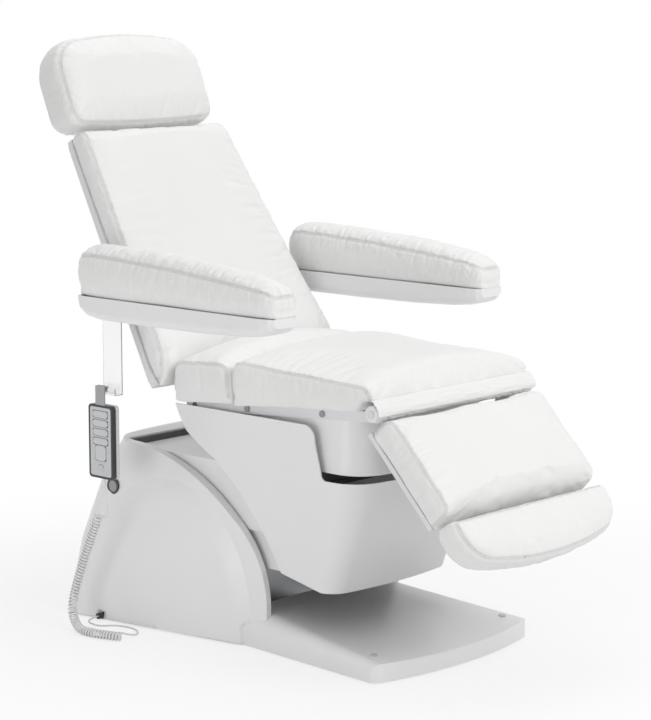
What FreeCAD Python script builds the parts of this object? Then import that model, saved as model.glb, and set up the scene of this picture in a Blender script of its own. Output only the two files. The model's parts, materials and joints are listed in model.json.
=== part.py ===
import FreeCAD, Part
import math
import os
import re
import Sketcher

# Electric podiatry chair: a hooded base with a telescopic lift column, a body that rides on the
# column, and a tilting seat with a reclining back, level armrests, a head cushion and a leg rest
# that ends in a foot cushion. A corded handset hangs under the right armrest.
#
# Frame: +Z up, the chair faces -Y, the sitter's left is +X. The origin lies on the floor in the
# middle of the chair's footprint. "front" values are measured forwards from it (front = -Y), "up"
# values from the floor. All lengths are millimetres and all angles degrees.

Vector = FreeCAD.Vector
Rotation = FreeCAD.Rotation
Placement = FreeCAD.Placement
X_AXIS = Vector(1, 0, 0)

# Driving sizes, one cell each
SIZES = {
    # Where the moving parts hinge, and how they stand at rest
    "tilt_pivot_front": -172, "tilt_pivot_up": 591, "seat_slope_angle": 4,
    "back_hinge_along": -98.7, "back_hinge_above": 53, "back_raise_angle": 57.3,
    "leg_hinge_along": 636, "leg_hinge_above": 15, "leg_drop_angle": 46.5,
    "arm_pivot_along": 228, "arm_pivot_above": 34,
    "head_hinge_beyond": 65.4, "head_hinge_above": -37.4, "head_lean_angle": 10,
    "foot_hinge_inset": 11.5, "foot_hinge_below": 78, "foot_lift_angle": -8.5,
    # Clearances: running fit of pins, and what keeps soft parts off their neighbours
    "pin_clearance": 0.05, "soft_gap": 0.4,
    # Steel base and floor pads
    "floor_pad_radius": 24, "floor_pad_height": 6,
    "base_thick": 8, "base_spine_half": 150, "base_front": 466, "base_rear": -522,
    "base_bar_half": 262, "base_bar_deep": 78, "pad_inset": 32,
    # Front foot cover
    "foot_cover_rear": 4, "foot_cover_front": 516, "foot_cover_floor_gap": 3,
    "foot_cover_flare": 37,
    "foot_cover_rear_up": 95, "foot_cover_front_up": 45,
    "foot_cover_rear_round": 55, "foot_cover_front_round": 18,
    "foot_cover_bow": 34, "foot_cover_corner": 42, "foot_cover_wall": 4,
    "cover_screw_inset": 16, "cover_screw_front": 428, "cover_screw_radius": 9,
    "cover_screw_head": 3, "cover_screw_shank": 4,
    # Rear hood
    "hood_front": 76, "hood_rear_low": -604, "hood_rear_top": -474, "hood_rear_bow": 18,
    "hood_front_inset": 10, "hood_top_inset": 18, "hood_rear_half_low": 345,
    "hood_rear_half_top": 256, "hood_corner": 70, "hood_top_up": 474,
    "hood_arch_foot_up": 92, "hood_tip_front": -415, "hood_tip_up": 466,
    "hood_opening_gap": 5, "hood_opening_rear": -440, "hood_wall": 5, "hood_floor_gap": 3,
    # Blank badge on the hood and the cord's gland at its foot
    "badge_front": -438, "badge_up": 350, "badge_radius": 21, "badge_disc_radius": 15,
    "badge_side": 287, "badge_thick": 7, "badge_step": 0.6,
    "gland_front": -440, "gland_up": 12, "gland_radius": 8, "gland_side": 350, "gland_long": 32,
    # Telescopic column and its travel guides
    "column_front": -182, "column_width": 210, "column_depth": 170, "column_wall": 5,
    "column_gap": 0.3, "column_length": 405, "column_step": 10, "column_floor_clear": 6,
    # Nested covers
    "upper_cover_margin": 39, "upper_cover_rear": -420, "upper_cover_front": 98,
    "upper_cover_deep": 160, "lower_cover_low": 200, "nest_gap": 6, "cover_sheet": 3,
    # Carrier on top of the column
    "deck_half": 190, "deck_rear": -292, "deck_front": 268, "deck_thick": 10,
    "bracket_thick": 8, "bracket_eye": 12, "tilt_pin_radius": 7, "pin_proud": 2,
    "bracket_foot_rear": -67, "bracket_foot_front": 68,
    "body_bar_rear": 122, "body_bar_front": 228, "body_bar_wide": 26, "body_bar_high": 20,
    # Body shell
    "body_low": 168, "body_top": 592, "body_low_half": 222, "body_top_half": 268,
    "body_low_front": 290, "body_top_front": 446, "body_low_round": 52, "body_top_round": 96,
    "body_bow": 14, "body_wall": 4, "body_rear": -226, "body_ledge_up": 458,
    "body_notch_front": 250, "body_side_foot_front": 102, "body_side_foot_up": 197,
    # Seat frame, its boards and side skirt
    "rail_side": 238, "rail_wide": 26, "rail_low": -13, "rail_high": 13, "rail_front": 598,
    "rail_rear": -30, "rear_ear_side": 206, "rear_ear_thick": 12,
    "ear_eye": 17, "back_eye": 12.5, "back_pin_radius": 7, "back_pin_start": 184,
    "back_pin_long": 30,
    "cross_rear": 60, "cross_middle": 300, "cross_front": 556, "cross_wide": 30,
    "board_half": 176, "board_thick": 10, "board_rear": -22, "board_front": 588,
    "skirt_half": 238, "skirt_front": 395, "skirt_round": 84, "skirt_bow": 10, "skirt_low": 476,
    "skirt_high": 650, "skirt_flare": 8, "skirt_wall": 4, "skirt_rear_along": 150,
    "skirt_rear_deep": 28, "skirt_slant_end": 158,
    "rail_cap_radius": 8, "rail_cap_thick": 4, "rail_cap_rear_along": 186,
    "rail_cap_front_along": 439,
    # Seat cushions
    "seat_half": 302, "rear_cushion_rear": -32, "rear_cushion_front": 171,
    "rear_cushion_seam": 118, "rear_cushion_crown": 38,
    "front_cushion_front": 640, "front_cushion_seam": 127, "front_cushion_drop": 50,
    "front_cushion_lift": 29, "front_cushion_crown": 30, "cushion_gap": 4.5,
    "seat_round": 40, "nose_round": 60,
    "side_bulge": 6, "side_tuck": 10, "drawn_in": 6, "corner_draw": 26,
    # Leg hinge and its padded roll
    "leg_tube_radius": 10, "leg_tube_half": 299, "leg_roll_radius": 21, "leg_roll_half": 297,
    "leg_roll_round": 5, "leg_arm_side": 213, "leg_arm_thick": 12,
    # Leg rest
    "leg_board_low": -56, "leg_board_thick": 12, "leg_board_start": 24, "leg_board_inset": 5,
    "leg_half": 292, "leg_cushion_start": 28, "leg_cushion_end": 305, "leg_seam": 34,
    "leg_crown": 18, "leg_round": 40,
    "leg_arm_end": 80, "leg_arm_deep": 14,
    # Foot section
    "foot_rod_radius": 9, "foot_rod_side": 150, "foot_rod_start": 90, "foot_cross_half": 186,
    "foot_cross_radius": 10.5,
    "foot_guide_radius": 12, "foot_guide_start": 84, "foot_guide_inset": 55,
    "foot_guide_foot": 26, "foot_lug_side": 176, "foot_lug_thick": 12, "foot_lug_eye": 14,
    "foot_half": 290, "foot_start": 13, "foot_end": 155, "foot_corner": 90, "foot_bow": 20,
    "foot_board_low": 35, "foot_board_thick": 8, "foot_board_inset": 14, "foot_seam": 110,
    "foot_crown": 11,
    # Backrest
    "back_low": -20, "back_high": 700, "back_seam": 92, "back_crown": 16,
    "back_board_low": 14, "back_board_thick": 18, "back_board_inset": 5,
    "back_top_half": 262, "back_bottom_half": 331, "back_round": 40, "back_low_round": 70,
    "back_strap_side": 191, "back_strap_thick": 10, "back_strap_long": 130,
    "back_strap_deep": 14,
    # Arm brackets, hubs and armrests
    "arm_bracket_side": 317.5, "arm_bracket_thick": 7, "arm_bracket_half": 22,
    "arm_bracket_root": 264, "arm_bracket_foot": 10, "arm_bracket_high": 54,
    "arm_spindle_radius": 12, "arm_spindle_end": 356, "arm_flange_radius": 20,
    "arm_flange_thick": 4, "arm_side": 384, "arm_half": 54, "arm_behind": 40, "arm_ahead": 640,
    "arm_split": 20, "arm_seam": 126, "arm_crown": 24, "arm_low": -38, "arm_end_lift": 50,
    "arm_shell_round": 22, "arm_wall": 4,
    # Head section
    "head_rod_radius": 8, "head_rod_side": 95, "head_rod_tail": 140, "head_cross_half": 118,
    "head_cross_radius": 9.5,
    "head_guide_radius": 11, "head_guide_inset": 10, "head_guide_long": 145,
    "head_guide_foot": 22, "head_lug_side": 62, "head_lug_thick": 12, "head_lug_eye": 13,
    "head_half": 262, "head_low": -40, "head_high": 228, "head_corner": 95, "head_bow": 12,
    "head_low_corner": 45, "head_low_bow": 5,
    "head_board_low": 14, "head_board_thick": 10, "head_board_inset": 16, "head_seam": 114,
    "head_crown": 20,
    # Hanger under the right armrest
    "hanger_side": 398, "hanger_thick": 3, "hanger_ahead": 55, "hanger_wide": 68,
    "hanger_drop": 222, "hanger_reach": 27, "hanger_lip": 14,
    # Handset
    "handset_ahead": 37, "handset_below": 347, "handset_wide": 88, "handset_tall": 188,
    "handset_thick": 24, "handset_side": 404, "handset_round": 10, "handset_rim": 6,
    "face_thick": 1.5, "face_round": 6, "hook_wide": 34, "hook_thick": 3,
    "hook_high": 51, "hook_reach": 11, "hook_back": 11,
    "key_wide": 54, "key_tall": 16, "key_pitch": 23, "key_first": 70, "key_thick": 3.2,
    "key_proud": 1.2, "key_gap": 0.3, "key_floor": 1, "key_round": 7.5,
    "square_key": 38, "square_key_below": 29, "square_key_round": 8, "disc_below": 70,
    "disc_radius": 11, "disc_thick": 0.8,
    # Handset cord: straight leads with a curly part between them
    "lead_radius": 2.2, "coil_radius": 12, "coil_wire": 2.6, "coil_turns": 56,
    "lead_outlet": 12, "lead_lift": 1.2,
    "coil_top_front": -344, "coil_top_up": 306, "coil_top_side": 429,
    "coil_low_front": -459, "coil_low_up": 72, "coil_turn_front": -408, "coil_turn_side": 456,
    "coil_out_front": -330, "coil_out_side": 480, "coil_end_front": -246, "coil_end_side": 444,
    "lead_near_front": -254, "lead_near_side": 378, "lead_far_front": -298, "lead_far_side": 345,
    "lead_loop_front": -362, "lead_loop_side": 352, "lead_back_front": -392,
    "lead_back_side": 397,
}


class Sizes:
    """Reads a size back from the sheet by its name."""

    def __init__(self, cells):
        self.cells = cells

    def __getattr__(self, name):
        return float(self.cells.get(name))


doc = FreeCAD.newDocument("podiatry_chair")
sheet = doc.addObject("Spreadsheet::Sheet", "sizes")
for row, (alias, value) in enumerate(SIZES.items(), start=1):
    sheet.set(f"A{row}", alias)
    sheet.set(f"B{row}", str(value))
    sheet.setAlias(f"B{row}", alias)
doc.recompute()
s = Sizes(sheet)
parts = {}
QUARTER = 0.5 * math.pi
DIAGONAL = math.sqrt(0.5)


# Binding and simple solids
def bind(piece, **formulas):
    """Ties properties to formulas over the sheet's names."""
    for target, formula in formulas.items():
        path = target.replace("__", ".")
        text = re.sub(r"[a-z][a-z_]+", lambda word: linked(word.group(0)), formula)
        piece.setExpression(path, text)
    return piece


def linked(word):
    return "sizes." + word if word in SIZES else word


def block(name, across, front, up):
    """Box between two formulas each way; front runs forwards."""
    piece = doc.addObject("Part::Box", name)
    bind(piece, Length=f"({across[1]}) - ({across[0]})", Width=f"({front[1]}) - ({front[0]})",
         Height=f"({up[1]}) - ({up[0]})", Placement__Base__x=across[0],
         Placement__Base__y=f"-({front[1]})", Placement__Base__z=up[0])
    return piece


def rod(name, radius, length, start, axis=X_AXIS):
    """Cylinder from a start point (across, front, up) along an axis."""
    piece = doc.addObject("Part::Cylinder", name)
    piece.Placement = Placement(Vector(0, 0, 0), Rotation(Vector(0, 0, 1), axis))
    bind(piece, Radius=radius, Height=length, Placement__Base__x=start[0],
         Placement__Base__y=f"-({start[1]})", Placement__Base__z=start[2])
    return piece


def cut(name, base, tool):
    piece = doc.addObject("Part::Cut", name)
    piece.Base = base
    piece.Tool = tool
    return piece


def fuse(name, pieces):
    piece = doc.addObject("Part::MultiFuse", name)
    piece.Shapes = pieces
    return piece


def group(name, pieces):
    piece = doc.addObject("Part::Compound", name)
    piece.Links = pieces
    return piece


def mirrored(piece):
    """The piece's mirror image across the chair's middle."""
    mirror = doc.addObject("Part::Mirroring", piece.Name + "_mirror")
    mirror.Source = piece
    mirror.Normal = X_AXIS
    return mirror


def both_sides(name, piece):
    return group(name, [piece, mirrored(piece)])


def solid(name, shape):
    """A document object that holds a shape made with Part's functions."""
    piece = doc.addObject("Part::Feature", name)
    piece.Shape = shape
    return piece


def node(label, piece, place=None):
    """Names a finished sub-part and puts it on its station."""
    piece.Label = label
    if place is not None:
        piece.Placement = place
    parts[label] = piece
    return piece


# Sketched bodies
def origin_plane(body, role):
    for feature in body.Origin.OriginFeatures:
        if feature.Role == role:
            return feature
    raise RuntimeError(f"no {role} in {body.Name}")


def sketched_body(name, role, loops, circles=()):
    """A body with one sketch: closed loops of points and circles, all given as formulas."""
    body = doc.addObject("PartDesign::Body", name)
    body.AllowCompound = True
    sketch = body.newObject("Sketcher::SketchObject", name + "_sketch")
    sketch.AttachmentSupport = [(origin_plane(body, role), "")]
    sketch.MapMode = "FlatFace"
    for loop in loops:
        first = sketch.GeometryCount
        count = len(loop)
        ring = [Vector(math.cos(2 * math.pi * i / count), math.sin(2 * math.pi * i / count), 0)
                for i in range(count)]
        for i in range(count):
            sketch.addGeometry(Part.LineSegment(ring[i], ring[(i + 1) % count]), False)
        for i in range(count):
            following = first + (i + 1) % count
            sketch.addConstraint(Sketcher.Constraint("Coincident", first + i, 2, following, 1))
        for i, (across, along) in enumerate(loop):
            tie_point(sketch, first + i, 1, ring[i], across, along)
    for across, along, radius in circles:
        circle = sketch.addGeometry(Part.Circle(Vector(0, 0, 0), Vector(0, 0, 1), 1), False)
        index = sketch.addConstraint(Sketcher.Constraint("Radius", circle, 1))
        bind(sketch, **{f"Constraints[{index}]": radius})
        tie_point(sketch, circle, 3, Vector(0, 0, 0), across, along)
    return body, sketch


def tie_point(sketch, geometry, point, start, across, along):
    for kind, first_value, formula in (("DistanceX", start.x, across), ("DistanceY", start.y, along)):
        constraint = Sketcher.Constraint(kind, -1, 1, geometry, point, first_value)
        index = sketch.addConstraint(constraint)
        bind(sketch, **{f"Constraints[{index}]": formula})


def side_plates(name, loop, side, thick, circles=()):
    """A pair of upright plates, one each side, cut from one side profile of (front, up) points."""
    loop = [(f"-({front})", up) for front, up in loop]
    circles = [(f"-({front})", up, radius) for front, up, radius in circles]
    body, sketch = sketched_body(name, "YZ_Plane", [loop], circles)
    bind(sketch, AttachmentOffset__Base__z=f"{side} - ({thick}) / 2")
    pad = body.newObject("PartDesign::Pad", name + "_pad")
    pad.Profile = sketch
    bind(pad, Length=thick)
    mirror = body.newObject("PartDesign::Mirrored", name + "_mirror")
    mirror.Originals = [pad]
    mirror.MirrorPlane = (origin_plane(body, "YZ_Plane"), [""])
    body.Tip = mirror
    return body


def round_edges(body, name, radius, chosen):
    """Rounds the edges of a body's last feature that a test picks."""
    doc.recompute()
    base = body.Tip
    picked = [f"Edge{i}" for i, edge in enumerate(base.Shape.Edges, start=1) if chosen(edge)]
    fillet = body.newObject("PartDesign::Fillet", name + "_round")
    fillet.Base = (base, picked)
    bind(fillet, Radius=radius)
    body.Tip = fillet
    return body


def runs_along(axis):
    """Picks straight edges parallel to an axis."""
    def chosen(edge):
        ends = [vertex.Point for vertex in edge.Vertexes]
        if len(ends) != 2:
            return False
        way = ends[1] - ends[0]
        return abs(way.dot(axis)) > 0.999 * way.Length
    return chosen


# Stations: each moving group is modelled flat about its hinge and then turned to its rest angle
def turned_about(front, up, angle):
    return Placement(Vector(0, -front, up), Rotation(X_AXIS, angle))


def place_of(station, along, above):
    """World front and up of a point given along and above a station's own level."""
    point = station.multVec(Vector(0, -along, above))
    return -point.y, point.z


seat_place = turned_about(s.tilt_pivot_front, s.tilt_pivot_up, -s.seat_slope_angle)
back_front, back_up = place_of(seat_place, s.back_hinge_along, s.back_hinge_above)
back_place = turned_about(back_front, back_up, s.back_raise_angle)
leg_front, leg_up = place_of(seat_place, s.leg_hinge_along, s.leg_hinge_above)
leg_place = turned_about(leg_front, leg_up, s.leg_drop_angle)


# Curved sections and lofts
def line(start, end):
    return Part.LineSegment(start, end).toShape()


def arc(start, middle, end):
    return Part.Arc(start, middle, end).toShape()


def loft(wires, ruled=True):
    return Part.makeLoft(wires, True, ruled)


def side_prism(edges, half):
    """Closed side outline at x = 0 pushed out to both sides."""
    face = Part.Face(Part.Wire(edges))
    face.translate(Vector(-half, 0, 0))
    return face.extrude(Vector(2 * half, 0, 0))


def at(front, up, across=0.0):
    return Vector(across, -front, up)


def cushion_section(front, half, low, seam, crown):
    """Cross-section of a cushion: flat base, bulged sides and a crowned top."""
    foot = half - s.side_tuck
    edge = half - s.side_bulge
    middle = 0.55 * low + 0.45 * seam
    return Part.Wire([
        line(at(front, low, -foot), at(front, low, foot)),
        arc(at(front, low, foot), at(front, middle, half), at(front, seam, edge)),
        arc(at(front, seam, edge), at(front, seam + crown, 0), at(front, seam, -edge)),
        arc(at(front, seam, -edge), at(front, middle, -half), at(front, low, -foot)),
    ])


# How a cushion rounds off towards an end: how far each section lies from the end, as a share of
# the rounded length, and the shares of its height and of its crown that are left there
round_end_shares = ((0.0, 0.66, 0.05), (0.16, 0.86, 0.3), (0.5, 0.97, 0.68), (1.0, 1.0, 0.86))
thin_end_shares = ((0.0, 0.3, 0.02), (0.12, 0.42, 0.1), (0.5, 0.68, 0.3), (1.0, 1.0, 0.86))
middle_shares = (0.5,)


def cushion(rear, front, half_at, low_at, seam_at, crown, rounds, front_end=round_end_shares,
            middles=middle_shares):
    """Cushion lofted through sections, drawn in between its corners and rounded at both ends."""
    rows = [(rear + part * rounds[0], height, rise) for part, height, rise in round_end_shares]
    rows += [(rear + part * (front - rear), 1.0, 1.0) for part in middles]
    rows += [(front - part * rounds[1], height, rise) for part, height, rise in reversed(front_end)]
    sections = []
    for station, height, rise in rows:
        share = (station - rear) / (front - rear)
        half = half_at(share) - s.drawn_in * math.sin(math.pi * share)
        half -= (1 - height) * s.corner_draw
        low = low_at(share)
        seam = low + (seam_at(share) - low) * height
        sections.append(cushion_section(station, half, low, seam, crown * rise))
    return loft(sections)


def bowed_end(end, way, half, rounding, bow):
    """A bowed edge with tangent corners as (front, across) points from its side to its middle."""
    slope = 2 * math.atan2(bow, half - rounding)
    reach = half - rounding + rounding * math.sin(slope)
    centre = end - way * (reach * math.tan(0.5 * slope) + rounding * math.cos(slope))
    bend = 0.5 * (QUARTER - slope)
    return [(centre, half),
            (centre + way * rounding * math.sin(bend), half - rounding + rounding * math.cos(bend)),
            (centre + way * rounding * math.cos(slope), reach), (end, 0)]


def end_edges(up, points, side):
    """The edges of a bowed end, from one side round to the other."""
    first = [at(front, up, side * across) for front, across in points]
    last = [at(front, up, -side * across) for front, across in points]
    return [arc(first[0], first[1], first[2]), arc(first[2], first[3], last[2]),
            arc(last[2], last[1], last[0])]


def outline(up, start, end, start_half, half, rounding, bow):
    """Plan outline: straight at its start, with tangent corners and a bowed edge at its end."""
    points = bowed_end(end, math.copysign(1, end - start), half, rounding, bow)
    side_end = points[0][0]
    return Part.Wire(
        [line(at(start, up, -start_half), at(start, up, start_half)),
         line(at(start, up, start_half), at(side_end, up, half))] + end_edges(up, points, 1)
        + [line(at(side_end, up, -half), at(start, up, -start_half))])


def rounded_outline(up, half, front, front_corner, front_bow, rear, rear_corner, rear_bow):
    """Plan outline with tangent corners and a bowed edge at both its ends."""
    fore = bowed_end(front, 1, half, front_corner, front_bow)
    aft = bowed_end(rear, -1, half, rear_corner, rear_bow)
    return Part.Wire(
        [line(at(aft[0][0], up, half), at(fore[0][0], up, half))] + end_edges(up, fore, 1)
        + [line(at(fore[0][0], up, -half), at(aft[0][0], up, -half))] + end_edges(up, aft, -1))


def between(start, end):
    """A value that runs evenly from start to end as its share goes from 0 to 1."""
    return lambda share: start + (end - start) * share


def always(value):
    return lambda share: value


# Steel base on its four floor pads
base_low = "floor_pad_height"
base_high = "floor_pad_height + base_thick"
spine = block("base_spine", ("-base_spine_half", "base_spine_half"), ("base_rear", "base_front"),
              (base_low, base_high))
front_bar = block("base_front_bar", ("-base_bar_half", "base_bar_half"),
                  ("base_front - base_bar_deep", "base_front"), (base_low, base_high))
rear_bar = block("base_rear_bar", ("-base_bar_half", "base_bar_half"),
                 ("base_rear", "base_rear + base_bar_deep"), (base_low, base_high))
node("base_plate", fuse("base_plate", [spine, front_bar, rear_bar]))

pad_places = [(side, front) for side in ("base_bar_half - pad_inset", "pad_inset - base_bar_half")
              for front in ("base_front - pad_inset", "base_rear + pad_inset")]
pads = [rod(f"floor_pad_{i}", "floor_pad_radius", base_low, (side, front, "0"), Vector(0, 0, 1))
        for i, (side, front) in enumerate(pad_places)]
node("floor_pads", group("floor_pads", pads))


# Front foot cover: a wedge that widens and flattens towards a bowed front edge
foot_cover_rear_half = s.base_bar_half
foot_cover_front_half = s.base_bar_half + s.foot_cover_flare
cover_screw_side = s.base_bar_half - s.cover_screw_inset


def foot_cover_section(front, half, top, rounding, low):
    shoulder = rounding * (1 - DIAGONAL)
    return Part.Wire([
        line(at(front, low, -half), at(front, low, half)),
        line(at(front, low, half), at(front, top - rounding, half)),
        arc(at(front, top - rounding, half), at(front, top - shoulder, half - shoulder),
            at(front, top, half - rounding)),
        line(at(front, top, half - rounding), at(front, top, rounding - half)),
        arc(at(front, top, rounding - half), at(front, top - shoulder, shoulder - half),
            at(front, top - rounding, -half)),
        line(at(front, top - rounding, -half), at(front, low, -half)),
    ])


def foot_cover_solid(inset, low):
    """The wedge, cut at its bowed front and drawn in by an inset."""
    rear, front = s.foot_cover_rear, s.foot_cover_front
    rear_section = foot_cover_section(rear, foot_cover_rear_half - inset,
                                      s.foot_cover_rear_up - inset,
                                      s.foot_cover_rear_round - inset, low)
    front_section = foot_cover_section(front, foot_cover_front_half - inset,
                                       s.foot_cover_front_up - inset,
                                       s.foot_cover_front_round - inset, low)
    wedge = loft([rear_section, front_section])
    half = foot_cover_front_half - inset
    edge = outline(0, rear, front - inset, half, half, s.foot_cover_corner - inset, s.foot_cover_bow)
    plan = Part.Face(edge).extrude(Vector(0, 0, s.foot_cover_rear_up))
    return wedge.common(plan)


foot_cover_outer = foot_cover_solid(0, s.foot_cover_floor_gap)
foot_cover_inner = foot_cover_solid(s.foot_cover_wall, 0)
foot_cover_slope = math.degrees(math.atan2(s.foot_cover_rear_up - s.foot_cover_front_up,
                                           s.foot_cover_front - s.foot_cover_rear))


def foot_cover_top(front):
    share = (front - s.foot_cover_rear) / (s.foot_cover_front - s.foot_cover_rear)
    return s.foot_cover_rear_up + (s.foot_cover_front_up - s.foot_cover_rear_up) * share


foot_cover_shape = foot_cover_outer.cut(foot_cover_inner)
for side in (-1, 1):
    hole = Part.makeCylinder(s.cover_screw_shank + s.pin_clearance, s.foot_cover_rear_up,
                             at(s.cover_screw_front, 0, side * cover_screw_side))
    foot_cover_shape = foot_cover_shape.cut(hole)
node("foot_cover", solid("foot_cover", foot_cover_shape))

# Two capped screws hold the foot cover down to the base bar
screw_top = foot_cover_top(s.cover_screw_front)
screws = []
for side in (-1, 1):
    seat = at(s.cover_screw_front, screw_top, side * cover_screw_side)
    head = Part.makeCylinder(s.cover_screw_radius, s.cover_screw_head, seat)
    shank_foot = at(s.cover_screw_front, s.floor_pad_height + s.base_thick,
                    side * cover_screw_side)
    shank = Part.makeCylinder(s.cover_screw_shank, screw_top - shank_foot.z, shank_foot)
    head.rotate(seat, X_AXIS, foot_cover_slope)
    screws.append(head.fuse(shank))
node("cover_screws", solid("cover_screws", Part.makeCompound(screws)))

# Rear hood: flares backwards and downwards, open over an arch for the covers
hood_level_share = (0.0, 0.42, 0.78, 1.0)
hood_flare_share = (1.0, 0.74, 0.36, 0.0)


def hood_section(share, flare, inset, low):
    up = low + (s.hood_top_up - inset - low) * share
    front_half = s.base_bar_half - between(s.hood_front_inset, s.hood_top_inset)(share) - inset
    rear_half = between(s.hood_rear_half_top, s.hood_rear_half_low)(flare) - inset
    rear = between(s.hood_rear_top, s.hood_rear_low)(flare) + inset
    return outline(up, s.hood_front, rear - s.hood_rear_bow, front_half, rear_half,
                   s.hood_corner - inset, s.hood_rear_bow)


# Arch points: how far back from the hood's front and how far up, as shares of the arch
arch_share = ((0.061, 0.357), (0.22, 0.603), (0.556, 0.881))


def hood_side_outline(inset):
    """Side outline of the hood: an arch that rises backwards and runs out over the top."""
    front = s.hood_front - inset
    length = s.hood_front - s.hood_tip_front
    height = s.hood_tip_up - s.hood_arch_foot_up
    points = [at(front - back * length, s.hood_arch_foot_up + rise * height - inset)
              for back, rise in arch_share]
    foot = at(front, s.hood_arch_foot_up - inset)
    tip = at(s.hood_tip_front, s.hood_tip_up - inset)
    top = at(s.hood_rear_top, s.hood_top_up - inset)
    rear = s.hood_rear_low - 2 * s.hood_corner
    low = -s.hood_corner
    return [line(at(front, low), foot), arc(foot, points[0], points[1]),
            arc(points[1], points[2], tip), line(tip, top),
            line(top, at(rear, s.hood_top_up - inset)),
            line(at(rear, s.hood_top_up - inset), at(rear, low)), line(at(rear, low), at(front, low))]


def hood_solid(inset, low):
    sections = [hood_section(share, flare, inset, low)
                for share, flare in zip(hood_level_share, hood_flare_share)]
    return loft(sections).common(side_prism(hood_side_outline(inset), 2 * s.hood_rear_half_low))


hood_shape = hood_solid(0, s.hood_floor_gap).cut(hood_solid(s.hood_wall, 0))
opening_half = s.deck_half + s.upper_cover_margin + s.hood_opening_gap
opening_reach = 2 * (s.hood_front - s.hood_opening_rear)
opening = Part.makeBox(2 * opening_half, opening_reach, 2 * s.hood_top_up,
                       at(s.hood_opening_rear + opening_reach, 0, -opening_half))
hood_shape = hood_shape.cut(opening).cut(foot_cover_solid(-s.soft_gap, 0))
node("hood", solid("hood", hood_shape))

# Telescopic column: three square tubes that slide in each other
stage_names = ("column_outer", "column_middle", "column_inner")
for stage, name in enumerate(stage_names):
    drawn = f"{stage} * (column_wall + column_gap)"
    half = f"(column_width / 2 - {drawn})"
    deep = f"(column_depth / 2 - {drawn})"
    low = f"{base_high} + {stage} * column_floor_clear"
    high = f"{base_high} + column_length + {stage} * column_step"
    outside = block(name + "_outside", (f"-{half}", half),
                    (f"column_front - {deep}", f"column_front + {deep}"), (low, high))
    inside = block(name + "_inside", (f"column_wall - {half}", f"{half} - column_wall"),
                   (f"column_front - {deep} + column_wall", f"column_front + {deep} - column_wall"),
                   (f"{low} - column_wall", f"{high} + column_wall"))
    node(name, cut(name, outside, inside))
column_top = "(floor_pad_height + base_thick + column_length + 2 * column_step)"
middle_top = "(floor_pad_height + base_thick + column_length + column_step)"


deck_high = f"({column_top} + deck_thick)"
cover_top = f"({deck_high} + cover_sheet)"


# Nested covers: sheet boxes open below and in front
def nest_cover(name, half, rear, front, low, top):
    outside = block(name + "_outside", (f"-({half})", half), (rear, front), (low, top))
    inside = block(name + "_inside", (f"cover_sheet - ({half})", f"({half}) - cover_sheet"),
                   (f"{rear} + cover_sheet", f"{front} + cover_sheet"),
                   (f"{low} - cover_sheet", f"{top} - cover_sheet"))
    return cut(name + "_shell", outside, inside)


upper_half = "(deck_half + upper_cover_margin)"
upper = nest_cover("upper_cover", upper_half, "upper_cover_rear", "upper_cover_front",
                   f"{cover_top} - upper_cover_deep", cover_top)
slot = block("bracket_slot", ("deck_half - bracket_thick - pin_clearance", "deck_half + pin_clearance"),
             ("bracket_foot_rear - cover_sheet", "bracket_foot_front + pin_clearance"),
             ("lower_cover_low", cover_top))
node("upper_cover", cut("upper_cover", upper, both_sides("bracket_slots", slot)))
lower = nest_cover("lower_cover", f"{upper_half} - cover_sheet - nest_gap",
                   "upper_cover_rear + cover_sheet + nest_gap",
                   "upper_cover_front - cover_sheet", "lower_cover_low",
                   f"{middle_top} + cover_sheet")
sleeve = "(column_wall + 2 * column_gap - pin_clearance)"
sleeve_hole = block("lower_cover_hole", (f"{sleeve} - column_width / 2", f"column_width / 2 - {sleeve}"),
                    (f"column_front - column_depth / 2 + {sleeve}",
                     f"column_front + column_depth / 2 - {sleeve}"),
                    ("lower_cover_low", cover_top))
node("lower_cover", cut("lower_cover", lower, sleeve_hole))

# Carrier on the inner tube: a deck and two brackets with the tilt pivot's pins
bracket_loop = [
    ("bracket_foot_rear", deck_high), ("bracket_foot_front", deck_high),
    ("tilt_pivot_front + bracket_eye", "tilt_pivot_up"),
    ("tilt_pivot_front + bracket_eye / 2", "tilt_pivot_up + bracket_eye"),
    ("tilt_pivot_front - bracket_eye / 2", "tilt_pivot_up + bracket_eye"),
    ("tilt_pivot_front - bracket_eye", "tilt_pivot_up - bracket_eye / 2"),
]
brackets = side_plates("brackets", bracket_loop, "deck_half - bracket_thick / 2", "bracket_thick")
tilt_pin = rod("tilt_pin", "tilt_pin_radius",
               "rail_side + rail_wide / 2 - deck_half + bracket_thick + pin_proud",
               ("deck_half - bracket_thick", "tilt_pivot_front", "tilt_pivot_up"))
node("carrier_brackets", fuse("carrier_brackets", [brackets, both_sides("tilt_pins", tilt_pin)]))


# Body shell: widens upwards, open at its top, with a notch for the skirt and a curved rear edge
def body_section(up, half, front, rounding, bow, rear):
    return outline(up, rear, front, half, half, rounding, bow)


body_depth = s.body_top_front - s.body_rear
body_height = s.body_top - s.body_low
# The rear edge in three arcs: shares of the depth and of the height at which each point lies
rear_edge_shares = ((0.016, 0.93), (0.05, 0.836), (0.11, 0.767), (0.19, 0.69), (0.365, 0.4))
# The notch over the ledge: shares of its height, forwards of its corner and up from the ledge
notch_shares = ((-0.2, 1.0), (-0.04, 0.9), (0.0, 0.7), (0.1, 0.12), (0.13, 0.03), (0.2, 0.0))
low_front_share = 0.809


def body_rear_points(shift):
    points = [at(s.body_rear + shift, s.body_top)]
    points += [at(s.body_rear + shift + along * body_depth, s.body_low + rise * body_height)
               for along, rise in rear_edge_shares]
    points.append(at(s.body_side_foot_front + shift, s.body_side_foot_up))
    return points


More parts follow.
